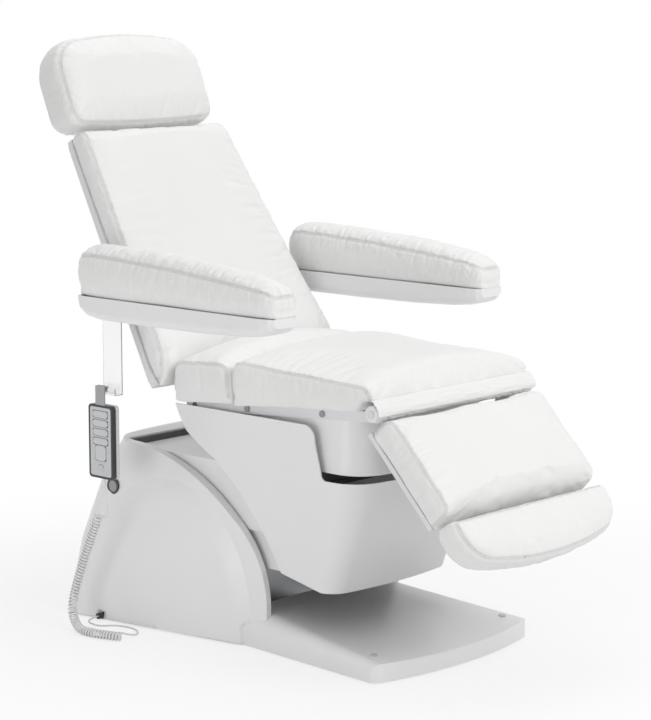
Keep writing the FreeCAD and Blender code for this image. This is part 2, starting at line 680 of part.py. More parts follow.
def body_outline():
    """Side outline: curved rear edge, flat top, a notch with a rounded corner, a level ledge."""
    rear = body_rear_points(0)
    notch = [at(s.body_notch_front + along * (s.body_top - s.body_ledge_up),
                s.body_ledge_up + rise * (s.body_top - s.body_ledge_up))
             for along, rise in notch_shares]
    ahead = 2 * s.body_top_front
    low_front = at(low_front_share * s.body_low_front, s.body_low)
    return [
        arc(rear[0], rear[1], rear[2]), arc(rear[2], rear[3], rear[4]),
        arc(rear[4], rear[5], rear[6]), line(rear[6], low_front),
        line(low_front, at(ahead, s.body_low)),
        line(at(ahead, s.body_low), at(ahead, s.body_ledge_up)),
        line(at(ahead, s.body_ledge_up), notch[5]), arc(notch[5], notch[4], notch[3]),
        line(notch[3], notch[2]), arc(notch[2], notch[1], notch[0]), line(notch[0], rear[0]),
    ]


def body_loft(inset):
    back = s.body_rear - s.body_wall
    low = body_section(s.body_low - s.body_wall, s.body_low_half - inset, s.body_low_front - inset,
                       s.body_low_round - inset, s.body_bow, back)
    high = body_section(s.body_top + s.body_wall, s.body_top_half - inset,
                        s.body_top_front - inset, s.body_top_round - inset, s.body_bow, back)
    return loft([low, high])


def body_inner_outline():
    """Inner side outline: a rear wall over the covers, open below them and above."""
    rear = body_rear_points(2 * s.body_wall)
    over = s.body_top + 2 * s.body_wall
    below = s.body_low - 2 * s.body_wall
    ahead = 2 * s.body_top_front
    back = s.body_rear - 2 * s.body_wall
    edge_front = -rear[4].y
    cover_clear = deck_top_up + 2 * s.cover_sheet + s.soft_gap
    return [
        line(at(back, over), at(back, rear[2].z)), line(at(back, rear[2].z), rear[2]),
        arc(rear[2], rear[3], rear[4]), line(rear[4], at(edge_front, cover_clear)),
        line(at(edge_front, cover_clear), at(back, cover_clear)),
        line(at(back, cover_clear), at(back, below)), line(at(back, below), at(ahead, below)),
        line(at(ahead, below), at(ahead, over)), line(at(ahead, over), at(back, over)),
    ]


deck_top_up = (s.floor_pad_height + s.base_thick + s.column_length + 2 * s.column_step
               + s.deck_thick)
body_outer = body_loft(0).common(side_prism(body_outline(), 2 * s.body_top_half))
body_inner = body_loft(s.body_wall).common(side_prism(body_inner_outline(), 2 * s.body_top_half))
node("body_shell", solid("body_shell", body_outer.cut(body_inner)))

# The deck carries two bars that reach to the body shell's side walls
deck = Part.makeBox(2 * s.deck_half, s.deck_front - s.deck_rear, s.deck_thick,
                    at(s.deck_front, deck_top_up - s.deck_thick, -s.deck_half))
body_bars = []
for bar_front in (s.body_bar_rear, s.body_bar_front):
    bar = Part.makeBox(4 * s.body_top_half, s.body_bar_wide, s.body_bar_high,
                       at(bar_front + s.body_bar_wide, deck_top_up, -2 * s.body_top_half))
    body_bars.append(bar.common(body_loft(s.body_wall)))
node("carrier_deck", solid("carrier_deck", deck.fuse(body_bars)))

# Seat frame: two rails with ears for the leg hinge, two inner plates with ears for the back's hinge
# and three cross bars
rail_loop = [
    ("rail_rear", "rail_low"), ("leg_hinge_along - ear_eye", "rail_low"),
    ("leg_hinge_along + ear_eye / 2", "leg_hinge_above - ear_eye"),
    ("leg_hinge_along + ear_eye", "leg_hinge_above - ear_eye / 2"),
    ("leg_hinge_along + ear_eye", "leg_hinge_above + ear_eye / 2"),
    ("leg_hinge_along + ear_eye / 2", "leg_hinge_above + ear_eye"),
    ("leg_hinge_along - ear_eye", "leg_hinge_above + ear_eye"),
    ("rail_front", "rail_high"), ("rail_rear", "rail_high"),
]
tilt_bore = ("0", "0", "tilt_pin_radius + pin_clearance")
rails = side_plates("rails", rail_loop, "rail_side", "rail_wide", [
    tilt_bore, ("leg_hinge_along", "leg_hinge_above", "leg_tube_radius + pin_clearance")])
rear_ear_loop = [
    ("cross_rear + cross_wide", "rail_low"), ("cross_rear + cross_wide", "rail_high"),
    ("rear_cushion_rear - back_eye / 2", "rail_high"),
    ("back_hinge_along + back_eye", "back_hinge_above - back_eye / 2"),
    ("back_hinge_along + back_eye", "back_hinge_above + back_eye / 2"),
    ("back_hinge_along + back_eye / 2", "back_hinge_above + back_eye"),
    ("back_hinge_along - back_eye / 2", "back_hinge_above + back_eye"),
    ("back_hinge_along - back_eye", "back_hinge_above + back_eye / 2"),
    ("back_hinge_along - back_eye", "back_hinge_above - back_eye / 2"),
    ("rear_cushion_rear - 2 * back_eye", "rail_low"),
]
rear_ears = side_plates("rear_ears", rear_ear_loop, "rear_ear_side", "rear_ear_thick",
                        [tilt_bore, ("back_hinge_along", "back_hinge_above", "back_pin_radius")])
rail_inner = "(rail_side - rail_wide / 2)"
cross_bars = [block(f"cross_bar_{i}", (f"-{rail_inner}", rail_inner), (along, f"{along} + cross_wide"),
                    ("rail_low", "rail_high - board_thick"))
              for i, along in enumerate(("cross_rear", "cross_middle", "cross_front"))]
node("seat_rails", group("seat_rails", [fuse("seat_frame", [rails, rear_ears] + cross_bars)]), seat_place)
back_pin = rod("back_pin", "back_pin_radius", "back_pin_long",
               ("back_pin_start", "back_hinge_along", "back_hinge_above"))
node("back_pins", both_sides("back_pins", back_pin), seat_place)
board = block("board", ("-board_half", "board_half"), ("board_rear", "board_front"),
              ("rail_high - board_thick", "rail_high"))
node("seat_board", group("seat_board", [board]), seat_place)
caps = [rod(f"rail_cap_{i}", "rail_cap_radius", "rail_cap_thick",
            ("rail_side + rail_wide / 2", along, "0")) for i, along in
        enumerate(("rail_cap_rear_along", "rail_cap_front_along"))]
node("rail_caps", both_sides("rail_caps", group("rail_caps_left", caps)), seat_place)


# Side skirt under the rails, level at its lower edge
def skirt_loft(inset):
    back = s.body_rear
    low = body_section(s.skirt_low - s.skirt_wall, s.skirt_half - inset, s.skirt_front - inset,
                       s.skirt_round - inset, s.skirt_bow, back)
    high = body_section(s.skirt_high, s.skirt_half + s.skirt_flare - inset,
                        s.skirt_front + s.skirt_flare - inset, s.skirt_round - inset,
                        s.skirt_bow, back)
    return loft([low, high])


skirt_rear, skirt_rear_up = place_of(seat_place, s.skirt_rear_along, s.rail_low)
skirt_ahead, skirt_ahead_up = place_of(seat_place, 2 * s.leg_hinge_along, s.rail_low)
skirt_loop = [at(skirt_rear, skirt_rear_up), at(skirt_rear, skirt_rear_up - s.skirt_rear_deep),
              at(s.skirt_slant_end, s.skirt_low), at(skirt_ahead, s.skirt_low),
              at(skirt_ahead, skirt_ahead_up)]
skirt_edges = [line(start, end) for start, end in zip(skirt_loop, skirt_loop[1:] + skirt_loop[:1])]
skirt_shape = skirt_loft(0).cut(skirt_loft(s.skirt_wall))
node("seat_skirt", solid("seat_skirt", skirt_shape.common(side_prism(skirt_edges, 2 * s.skirt_half))))

# Seat cushions
rear_cushion = cushion(s.rear_cushion_rear, s.rear_cushion_front, always(s.seat_half),
                       always(s.rail_high + s.soft_gap), always(s.rear_cushion_seam),
                       s.rear_cushion_crown, (s.seat_round, s.seat_round))
node("rear_seat_cushion", solid("rear_seat_cushion", rear_cushion), seat_place)
# The front cushion lifts off its board ahead of this share of its length, to clear the leg roll
nose_start_share = 0.871
nose_length_share = 0.064


def front_cushion_low(share):
    lift = min(1, max(0, (share - nose_start_share) / nose_length_share))
    return s.rail_high + s.soft_gap + s.front_cushion_lift * lift


def front_cushion_seam(share):
    return s.front_cushion_seam - s.front_cushion_drop * share


front_cushion = cushion(s.rear_cushion_front + s.cushion_gap, s.front_cushion_front,
                        always(s.seat_half), front_cushion_low, front_cushion_seam,
                        s.front_cushion_crown, (s.seat_round, s.nose_round))
node("front_seat_cushion", solid("front_seat_cushion", front_cushion), seat_place)

# Leg rest: hinge tube, its padded roll, arms, board and cushion
node("leg_tube", group("leg_tube", [rod("leg_tube_rod", "leg_tube_radius", "2 * leg_tube_half",
                                        ("-leg_tube_half", "0", "0"))]), leg_place)


def roll_piece(start, end):
    roll = Part.makeCylinder(s.leg_roll_radius, end - start, Vector(start, 0, 0), X_AXIS)
    roll = roll.makeFillet(s.leg_roll_round, [edge for edge in roll.Edges if edge.Curve.TypeId
                                              == "Part::GeomCircle"])
    hole = Part.makeCylinder(s.leg_tube_radius + s.soft_gap, 2 * s.leg_tube_half,
                             Vector(-s.leg_tube_half, 0, 0), X_AXIS)
    return roll.cut(hole)


roll_inner = s.leg_arm_side - s.leg_arm_thick
roll_outer = s.rail_side + 0.5 * s.rail_wide + s.cushion_gap
node("leg_roll", solid("leg_roll", Part.makeCompound([
    roll_piece(-roll_inner, roll_inner), roll_piece(roll_outer, s.leg_roll_half),
    roll_piece(-s.leg_roll_half, -roll_outer)])), leg_place)

leg_arm_loop = [
    ("0 - ear_eye", "0"), ("0 - ear_eye / 2", "ear_eye"), ("ear_eye / 2", "ear_eye"),
    ("ear_eye", "ear_eye / 2"), ("leg_board_start", "leg_board_low"),
    ("leg_arm_end", "leg_board_low"), ("leg_arm_end", "leg_board_low - leg_arm_deep"),
    ("leg_board_start - leg_arm_deep", "leg_board_low - leg_arm_deep"),
]
node("leg_arms", side_plates("leg_arms", leg_arm_loop, "leg_arm_side", "leg_arm_thick",
                             [("0", "0", "leg_tube_radius")]), leg_place)
node("leg_board", group("leg_board", [
    block("leg_board_panel", ("leg_arm_thick - leg_half", "leg_half - leg_arm_thick"),
          ("leg_board_start", "leg_cushion_end - leg_board_inset"),
          ("leg_board_low", "leg_board_low + leg_board_thick"))]), leg_place)
leg_low = s.leg_board_low + s.leg_board_thick + s.soft_gap
leg_cushion = cushion(s.leg_cushion_start, s.leg_cushion_end, always(s.leg_half), always(leg_low),
                      always(s.leg_seam), s.leg_crown, (s.leg_round, s.leg_round))
node("leg_cushion", solid("leg_cushion", leg_cushion), leg_place)


# Guide tubes on feet under a board, with rods that slide in them
def guide(name, outer, rod_radius, side, along, above, foot, foot_top):
    """Tube between two stations along, on a foot at each end that reaches up to a board."""
    start, end = along
    tube = rod(name + "_tube", outer, f"({end}) - ({start})", (side, start, above), Vector(0, -1, 0))
    feet = [block(f"{name}_foot_{i}", (f"{side} - {outer}", f"{side} + {outer}"), reach,
                  (above, foot_top)) for i, reach in
            enumerate(((start, f"{start} + {foot}"), (f"{end} - {foot}", end)))]
    bore = rod(name + "_bore", f"{rod_radius} + pin_clearance", f"({end}) - ({start}) + 2 * {foot}",
               (side, f"{start} - {foot}", above), Vector(0, -1, 0))
    return both_sides(name, cut(name + "_bored", fuse(name + "_body", [tube] + feet), bore))


def slider(name, radius, side, along, cross, cross_radius, above):
    """Two rods joined by a cross rod that is the hinge of the next section."""
    start, end = along
    left = rod(name + "_left", radius, f"({end}) - ({start})", (side, start, above), Vector(0, -1, 0))
    right = rod(name + "_right", radius, f"({end}) - ({start})", (f"-{side}", start, above),
                Vector(0, -1, 0))
    bar = rod(name + "_cross", cross_radius, f"2 * {cross}", (f"-{cross}", end, above))
    return group(name, [fuse(name + "_frame", [left, right, bar])])


foot_above = "-foot_hinge_below"
foot_along = "(leg_cushion_end - foot_hinge_inset)"
node("foot_guides", guide("foot_guides", "foot_guide_radius", "foot_rod_radius", "foot_rod_side",
                          ("foot_guide_start", "leg_cushion_end - foot_guide_inset"), foot_above,
                          "foot_guide_foot", "leg_board_low"), leg_place)
node("foot_rods", slider("foot_rods", "foot_rod_radius", "foot_rod_side",
                         ("foot_rod_start", foot_along), "foot_cross_half",
                         "foot_cross_radius", foot_above), leg_place)
foot_place = leg_place.multiply(Placement(at(s.leg_cushion_end - s.foot_hinge_inset, -s.foot_hinge_below),
                                          Rotation(X_AXIS, -s.foot_lift_angle)))


def lug_board(name, side, thick, eye, pin_radius, root, low, panel, place):
    """A board on two lugs that turn on the slider's cross rod and meet the board at their root."""
    loop = [(f"-{eye}", f"-{eye} / 2"), (f"-{eye} / 2", f"-{eye}"), (f"{eye} / 2", f"-{eye}"),
            (eye, f"-{eye} / 2"), (f"{root} + 2 * {eye}", low), (root, low), (f"-{eye}", f"{eye} / 2")]
    lugs = side_plates(name + "_lugs", loop, side, thick, [("0", "0", f"{pin_radius} + pin_clearance")])
    board_piece = solid(name + "_panel", panel)
    return node(name, group(name, [fuse(name + "_body", [lugs, board_piece])]), place)


# Pads with a rounded outline: at which share of the height, and drawn in by which share of the
# crown, each outline of the loft lies
pad_shares = ((0.0, 0.6), (0.12, 0.15), (0.45, 0.0), (0.8, 0.1), (1.0, 0.45))
crown_shares = ((0.45, 1.0), (0.8, 1.8), (1.0, 2.7))



def pad(shape, low, seam, crown):
    """Pad lofted through outlines that its shape gives for a level and a draw."""
    levels = [(low + part * (seam - low), draw * crown) for part, draw in pad_shares]
    levels += [(seam + part * crown, draw * crown) for part, draw in crown_shares]
    return loft([shape(level, draw) for level, draw in levels])


def panel(shape, low, thick, inset):
    return Part.Face(shape(low, inset)).extrude(Vector(0, 0, thick))


def foot_shape(up, draw):
    half = s.foot_half - draw
    return outline(up, s.foot_start + draw, s.foot_end - draw, half, half,
                   s.foot_corner - draw, s.foot_bow)


foot_panel = panel(foot_shape, s.foot_board_low, s.foot_board_thick, s.foot_board_inset)
lug_board("foot_board", "foot_lug_side", "foot_lug_thick", "foot_lug_eye", "foot_cross_radius",
          "(foot_start + foot_board_inset)", "foot_board_low", foot_panel, foot_place)
foot_pad = pad(foot_shape, s.foot_board_low + s.foot_board_thick + s.soft_gap, s.foot_seam, s.foot_crown)
node("foot_cushion", solid("foot_cushion", foot_pad), foot_place)

# Backrest: it widens evenly from its top to its low end
back_middle_shares = (0.25, 0.5, 0.75)
back_half = between(s.back_top_half, s.back_bottom_half)
back_board_high = s.back_board_low + s.back_board_thick
back_cushion = cushion(-s.back_high, -s.back_low, back_half, always(back_board_high + s.soft_gap),
                       always(s.back_seam), s.back_crown, (s.back_round, s.back_low_round),
                       thin_end_shares, back_middle_shares)
node("back_cushion", solid("back_cushion", back_cushion), back_place)


def board_section(front, half):
    corners = [at(front, s.back_board_low, -half), at(front, s.back_board_low, half),
               at(front, back_board_high, half), at(front, back_board_high, -half)]
    return Part.makePolygon(corners + corners[:1])


back_length = s.back_high - s.back_low
board_corner_share = 0.03
board_sections = []
for share in (0.0, board_corner_share, 0.5, 1 - board_corner_share, 1.0):
    corner = max(0, 1 - min(share, 1 - share) / board_corner_share)
    narrow = s.back_board_inset + s.back_board_inset * corner
    station = s.back_board_inset - s.back_high + share * (back_length - 2 * s.back_board_inset)
    board_sections.append(board_section(station, back_half(share) - narrow))
node("back_board", solid("back_board", loft(board_sections)), back_place)
back_strap_loop = [
    ("back_eye", "-back_eye / 2"), ("back_eye", "back_eye / 2"), ("back_eye / 2", "back_eye"),
    ("-back_eye", "back_board_low"), ("-back_strap_long", "back_board_low"),
    ("-back_strap_long", "back_board_low - back_strap_deep"), ("-2 * back_eye", "-back_eye"),
    ("back_eye / 2", "-back_eye"),
]
node("back_straps", side_plates("back_straps", back_strap_loop, "back_strap_side",
                                "back_strap_thick", [("0", "0", "back_pin_radius + pin_clearance")]),
     back_place)

# Arm brackets under the back board
arm_low_side = block("arm_bracket_foot", ("arm_bracket_root", "arm_bracket_side + arm_bracket_thick"),
                     ("-arm_pivot_along - arm_bracket_half", "arm_bracket_half - arm_pivot_along"),
                     ("back_board_low - arm_bracket_foot", "back_board_low"))
arm_upright = block("arm_bracket_upright", ("arm_bracket_side", "arm_bracket_side + arm_bracket_thick"),
                    ("-arm_pivot_along - arm_bracket_half", "arm_bracket_half - arm_pivot_along"),
                    ("back_board_low - arm_bracket_foot", "arm_bracket_high"))
spindle_hole = rod("arm_bracket_hole", "arm_spindle_radius + pin_clearance", "2 * arm_bracket_side",
                   ("0", "-arm_pivot_along", "arm_pivot_above"))
arm_bracket = cut("arm_bracket", fuse("arm_bracket_body", [arm_low_side, arm_upright]), spindle_hole)
node("arm_brackets", both_sides("arm_brackets", arm_bracket), back_place)

# Head section on two rods that slide in guides under the back board
head_along = "(back_high + head_hinge_beyond)"
head_guide_end = "(back_high - head_guide_inset)"
node("head_guides", guide("head_guides", "head_guide_radius", "head_rod_radius", "head_rod_side",
                          (f"-{head_guide_end}", f"head_guide_long - {head_guide_end}"),
                          "head_hinge_above",
                          "head_guide_foot", "back_board_low"), back_place)
head_left = rod("head_rod_left", "head_rod_radius", "head_hinge_beyond + head_rod_tail",
                ("head_rod_side", f"-{head_along}", "head_hinge_above"), Vector(0, -1, 0))
head_cross = rod("head_cross", "head_cross_radius", "2 * head_cross_half",
                 ("-head_cross_half", f"-{head_along}", "head_hinge_above"))
node("head_rods", group("head_rods", [fuse("head_rod_frame", [
    head_left, mirrored(head_left), head_cross])]), back_place)
head_place = back_place.multiply(Placement(at(-s.back_high - s.head_hinge_beyond, s.head_hinge_above),
                                           Rotation(X_AXIS, s.head_lean_angle)))
head_place = head_place.multiply(Placement(Vector(0, 0, 0), Rotation(Vector(0, 0, 1), 180)))
# The head cushion's corners tighten by this share of what its outline is drawn in
head_corner_share = 0.5


def head_shape(up, draw):
    return rounded_outline(up, s.head_half - draw, s.head_high - draw,
                           s.head_corner - head_corner_share * draw, s.head_bow, s.head_low + draw,
                           s.head_low_corner - head_corner_share * draw, s.head_low_bow)


head_panel = panel(head_shape, s.head_board_low, s.head_board_thick, s.head_board_inset)
lug_board("head_board", "head_lug_side", "head_lug_thick", "head_lug_eye", "head_cross_radius",
          "-head_lug_eye", "head_board_low", head_panel, head_place)
head_pad = pad(head_shape, s.head_board_low + s.head_board_thick + s.soft_gap, s.head_seam, s.head_crown)
node("head_cushion", solid("head_cushion", head_pad), head_place)

# Armrests: level at rest about the spindles of their hubs
arm_front, arm_up = place_of(back_place, -s.arm_pivot_along, s.arm_pivot_above)
arm_place = turned_about(arm_front, arm_up, 0)
# Sections along an armrest: share of the length, then the shares of its width, of its padding's
# height, of its crown and of the lift of its underside
arm_shares = (
    (0.0, 0.8, 0.86, 0.3, 0.6), (0.015, 0.92, 0.95, 0.7, 0.36), (0.05, 0.98, 1.0, 0.9, 0.12),
    (0.12, 1.0, 1.0, 1.0, 0.0), (0.4, 1.0, 0.93, 1.1, 0.0), (0.66, 1.0, 0.8, 1.15, 0.04),
    (0.86, 1.0, 0.68, 1.0, 0.16), (0.94, 0.98, 0.62, 0.8, 0.28), (0.98, 0.9, 0.56, 0.5, 0.45),
    (1.0, 0.74, 0.48, 0.2, 0.7),
)


def tray_section(front, half, high, low, rounding):
    tuck = rounding * (1 - DIAGONAL)
    return Part.Wire([
        line(at(front, high, half), at(front, high, -half)),
        line(at(front, high, -half), at(front, low + rounding, -half)),
        arc(at(front, low + rounding, -half), at(front, low + tuck, tuck - half),
            at(front, low, rounding - half)),
        line(at(front, low, rounding - half), at(front, low, half - rounding)),
        arc(at(front, low, half - rounding), at(front, low + tuck, half - tuck),
            at(front, low + rounding, half)),
        line(at(front, low + rounding, half), at(front, high, half)),
    ])


def arm_tray(inset):
    length = s.arm_ahead + s.arm_behind - 2 * inset
    sections = []
    for part, wide, tall, rise, lift in arm_shares:
        low = s.arm_low + s.arm_end_lift * lift + inset
        rounding = min(s.arm_shell_round, share_of_tray * (s.arm_split - low)) - inset
        sections.append(tray_section(inset - s.arm_behind + part * length, wide * s.arm_half - inset,
                                     s.arm_split + (inset and s.arm_wall), low, rounding))
    return loft(sections)


share_of_tray = 0.7
arm_rows = []
for part, wide, tall, rise, lift in arm_shares:
    station = part * (s.arm_ahead + s.arm_behind) - s.arm_behind
    low = s.arm_split + s.soft_gap
    seam = low + (s.arm_seam - low) * tall
    arm_rows.append(cushion_section(station, wide * s.arm_half, low, seam, s.arm_crown * rise))
arm_shell_shape = arm_tray(0).cut(arm_tray(s.arm_wall))
arm_shell_shape = arm_shell_shape.cut(Part.makeCylinder(
    s.arm_spindle_radius + s.pin_clearance, s.arm_half, Vector(-s.arm_half, 0, 0), X_AXIS))
arm_pad_shape = loft(arm_rows)
bracket_face = s.arm_bracket_side + s.arm_bracket_thick + s.pin_clearance
spindle = Part.makeCylinder(s.arm_spindle_radius, s.arm_spindle_end - s.arm_bracket_side,
                            Vector(s.arm_bracket_side, 0, 0), X_AXIS)
flange = Part.makeCylinder(s.arm_flange_radius, s.arm_flange_thick, Vector(bracket_face, 0, 0), X_AXIS)
hub_shape = spindle.fuse(flange)
middle_plane = Vector(0, 0, 0)
for word, flip in (("left", False), ("right", True)):
    for name, shape, shift in (("arm_hub", hub_shape, 0), ("arm_shell", arm_shell_shape, s.arm_side),
                               ("arm_pad", arm_pad_shape, s.arm_side)):
        if flip:
            shape = shape.mirror(middle_plane, X_AXIS)
            shift = -shift
        place = arm_place.multiply(Placement(Vector(shift, 0, 0), Rotation()))
        node(f"{name}_{word}", solid(f"{name}_{word}", shape), place)

# Hanger under the right armrest: a thin plate with an upturned lip
hanger_rear = "hanger_ahead - hanger_wide / 2"
hanger_fore = "hanger_ahead + hanger_wide / 2"
hanger_plate = block("hanger_plate", ("-hanger_side - hanger_thick", "-hanger_side"),
                     (hanger_rear, hanger_fore), ("-hanger_drop", "arm_low"))
hanger_floor = block("hanger_floor", ("-hanger_side - hanger_reach", "-hanger_side"),
                     (hanger_rear, hanger_fore), ("-hanger_drop - hanger_thick", "-hanger_drop"))
hanger_lip = block("hanger_lip",
                   ("-hanger_side - hanger_reach", "hanger_thick - hanger_side - hanger_reach"),
                   (hanger_rear, hanger_fore), ("-hanger_drop", "hanger_lip - hanger_drop"))
node("handset_hanger", group("handset_hanger", [
    fuse("handset_hanger_body", [hanger_plate, hanger_floor, hanger_lip])]), arm_place)


# Handset: a case with a sunk face, a hook over the hanger's lip and five keys
def side_panel(name, front, up, wide, tall, side, thick, rounding):
    """Flat piece facing sideways: a rounded rectangle around a centre."""
    loop = [(f"-({front}) - ({wide}) / 2", f"{up} - ({tall}) / 2"),
            (f"({wide}) / 2 - ({front})", f"{up} - ({tall}) / 2"),
            (f"({wide}) / 2 - ({front})", f"{up} + ({tall}) / 2"),
            (f"-({front}) - ({wide}) / 2", f"{up} + ({tall}) / 2")]
    body, sketch = sketched_body(name, "YZ_Plane", [loop])
    bind(sketch, AttachmentOffset__Base__z=side)
    pad_piece = body.newObject("PartDesign::Pad", name + "_pad")
    pad_piece.Profile = sketch
    bind(pad_piece, Length=thick)
    body.Tip = pad_piece
    return round_edges(body, name, rounding, runs_along(X_AXIS))


case_side = "(-handset_side - handset_thick)"
face_wide = "(handset_wide - 2 * handset_rim)"
face_tall = "(handset_tall - 2 * handset_rim)"
case = side_panel("case", "handset_ahead", "-handset_below", "handset_wide", "handset_tall",
                  case_side, "handset_thick", "handset_round")
face_space = side_panel("face_space", "handset_ahead", "-handset_below", face_wide, face_tall,
                        f"{case_side} - face_thick", "2 * face_thick", "face_round")
face_plate = side_panel("face_plate", "handset_ahead", "-handset_below", face_wide, face_tall,
                        case_side, "face_thick", "face_round")
key_floor = "(key_thick - key_proud + key_floor)"
key_rows = [(f"key_first - handset_below - {i} * key_pitch", "key_wide", "key_tall", "key_round")
            for i in range(4)]
key_rows.append(("-square_key_below - handset_below", "square_key", "square_key", "square_key_round"))
key_spaces = []
for i, (up, wide, tall, rounding) in enumerate(key_rows, start=1):
    key_spaces.append(block(f"key_space_{i}", (f"{case_side} - face_thick", f"{case_side} + {key_floor}"),
                            (f"handset_ahead - {wide} / 2 - key_gap", f"handset_ahead + {wide} / 2 + key_gap"),
                            (f"{up} - {tall} / 2 - key_gap", f"{up} + {tall} / 2 + key_gap")))
    node(f"handset_key_{i}", group(f"handset_key_{i}", [
        side_panel(f"key_{i}", "handset_ahead", up, wide, tall, f"{case_side} - key_proud",
                   "key_thick", rounding)]), arm_place)
key_space = group("key_spaces", key_spaces)
node("handset_case", group("handset_case", [
    cut("case_open", cut("case_sunk", case, face_space), key_space)]), arm_place)
disc = rod("handset_disc", "disc_radius", "disc_thick",
           (f"{case_side} - disc_thick", "handset_ahead", "-disc_below - handset_below"))
node("handset_face", group("handset_face", [
    fuse("face_body", [cut("face_cut", face_plate, key_space), disc])]), arm_place)
hook_rear = "handset_ahead - hook_wide / 2"
hook_fore = "handset_ahead + hook_wide / 2"
hook_root = "(-hanger_side - hanger_reach - soft_gap)"
case_top = "(handset_tall / 2 - handset_below)"
hook_top = "(hanger_lip - hanger_drop + soft_gap)"
hook_outer = block("hook_outer", (f"{hook_root} - hook_thick", hook_root), (hook_rear, hook_fore),
                   (f"{case_top}", f"{hook_top} + hook_thick"))
hook_bridge = block("hook_bridge", (f"{hook_root} - hook_thick", f"{hook_root} + hook_reach"),
                    (hook_rear, hook_fore), (hook_top, f"{hook_top} + hook_thick"))
hook_tip = block("hook_tip", (f"{hook_root} + hook_reach - hook_thick", f"{hook_root} + hook_reach"),
                 (hook_rear, hook_fore), (f"{hook_top} - hook_back", hook_top))
node("handset_hook", group("handset_hook", [fuse("hook_body", [hook_outer, hook_bridge, hook_tip])]),
     arm_place)

# Blank badge on the hood's side and the gland where the cord enters the hood
badge_at = ("-badge_side - badge_thick", "badge_front", "badge_up")
badge_space = rod("badge_space", "badge_radius", "2 * badge_thick", badge_at)
badge_body = rod("badge_body", "badge_radius", "badge_thick", badge_at)
badge_hole = rod("badge_hole", "badge_disc_radius", "badge_thick", badge_at)
node("badge_ring", cut("badge_ring", badge_body, badge_hole))
node("badge_disc", group("badge_disc", [
    rod("badge_plate", "badge_disc_radius", "badge_thick - badge_step",
        ("badge_step - badge_side - badge_thick", "badge_front", "badge_up"))]))
gland_at = ("-gland_side", "gland_front", "gland_up")
gland = rod("gland", "gland_radius", "gland_long", gland_at)
gland_hole = rod("gland_hole", "lead_radius + soft_gap", "2 * gland_long",
                 ("-gland_side - gland_long / 2", "gland_front", "gland_up"))
node("cord_gland", cut("cord_gland", gland, gland_hole))
hood_panel = solid("hood_panel", hood_shape)
hood_bored = cut("hood_bored", hood_panel, badge_space)
gland_space = rod("gland_space", "gland_radius", "gland_long", gland_at)
node("hood", cut("hood", hood_bored, gland_space))


# Cords: straight runs joined by tangent arcs, and a coil wound along such a route
def route(points, reach_share=0.45):
    """Edges of a path through points, rounded at each by a share of the shorter run."""
    edges = []
    start = points[0]
    for before, corner, after in zip(points, points[1:], points[2:]):
        inward = (corner - before).normalize()
        outward = (after - corner).normalize()
        reach = reach_share * min((corner - before).Length, (after - corner).Length)
        first = corner - inward * reach
        last = corner + outward * reach
        half_turn = 0.5 * inward.getAngle(outward)
        radius = reach / math.tan(half_turn)
        toward = (outward - inward).normalize()
        middle = corner + toward * (radius / math.cos(half_turn) - radius)
        edges += [line(start, first), arc(first, middle, last)]
        start = last
    edges.append(line(start, points[-1]))
    return edges


def tube(edges, radius, heading):
    start = edges[0].Vertexes[0].Point
    ring = Part.Wire([Part.makeCircle(radius, start, heading)])
    return Part.Wire(edges).makePipeShell([ring], True, False)


def seated(front, up, across):
    return arm_place.multVec(at(front, up, across))


def biarc(start, start_way, end, end_way):
    """Two arcs that join two points smoothly in given directions."""
    across = end - start
    both = start_way + end_way
    spread = 2 * (1 - start_way.dot(end_way))
    reach = (math.sqrt(across.dot(both) ** 2 + spread * across.dot(across)) - across.dot(both)) / spread
    joint = (start + start_way * reach + end - end_way * reach) * 0.5
    return [arc_from(start, start_way, joint), arc_back(joint, end, end_way)]


def arc_from(start, way, end):
    chord = end - start
    angle = way.getAngle(chord)
    side = (way - chord * (way.dot(chord) / chord.dot(chord))).normalize()
    return arc(start, (start + end) * 0.5 + side * (0.5 * chord.Length * math.tan(0.5 * angle)), end)


def arc_back(start, end, way):
    chord = end - start
    angle = way.getAngle(chord)
    side = (chord * (way.dot(chord) / chord.dot(chord)) - way).normalize()
    return arc(start, (start + end) * 0.5 + side * (0.5 * chord.Length * math.tan(0.5 * angle)), end)


def coil(corners, turns, radius, wire, first_normal):
    """Wire wound round a route: its path as arcs, a quarter turn each, with straight ends."""
    spine = Part.Wire(route(corners))
    count = 4 * turns - 1
    centres = spine.discretize(Number=count + 1)
    ways = [(centres[min(i + 1, count)] - centres[max(i - 1, 0)]).normalize()
            for i in range(count + 1)]
    pitch = 4 * spine.Length / count
    points = []
    headings = []
    normal = first_normal
    for i, (centre, way) in enumerate(zip(centres, ways)):
        normal = (normal - way * normal.dot(way)).normalize()
        side = normal.cross(way)
        turn = QUARTER * i
        points.append(centre + (normal * math.cos(turn) + side * math.sin(turn)) * radius)
        heading = (side * math.cos(turn) - normal * math.sin(turn)) * radius
        headings.append((heading + way * (pitch / (4 * QUARTER))).normalize())
    edges = [line(points[0] - headings[0] * (2 * wire), points[0])]
    for i in range(count):
        edges += biarc(points[i], headings[i], points[i + 1], headings[i + 1])
    edges.append(line(points[-1], points[-1] + headings[-1] * (2 * wire)))
    return edges, headings


def coil_gap(edges, turns, wire):
    """Least gap between neighbouring curls, measured on points along the wire."""
    points = [edge.valueAt(edge.FirstParameter + 0.5 * part * (edge.LastParameter - edge.FirstParameter))
              for edge in edges[1:-1] for part in range(2)]
    per_turn = len(points) // turns
    least = min(points[i].distanceToPoint(points[j])
                for i in range(len(points) - per_turn // 2)
                for j in range(i + per_turn // 2, min(i + 2 * per_turn, len(points))))
    return least - 2 * wire


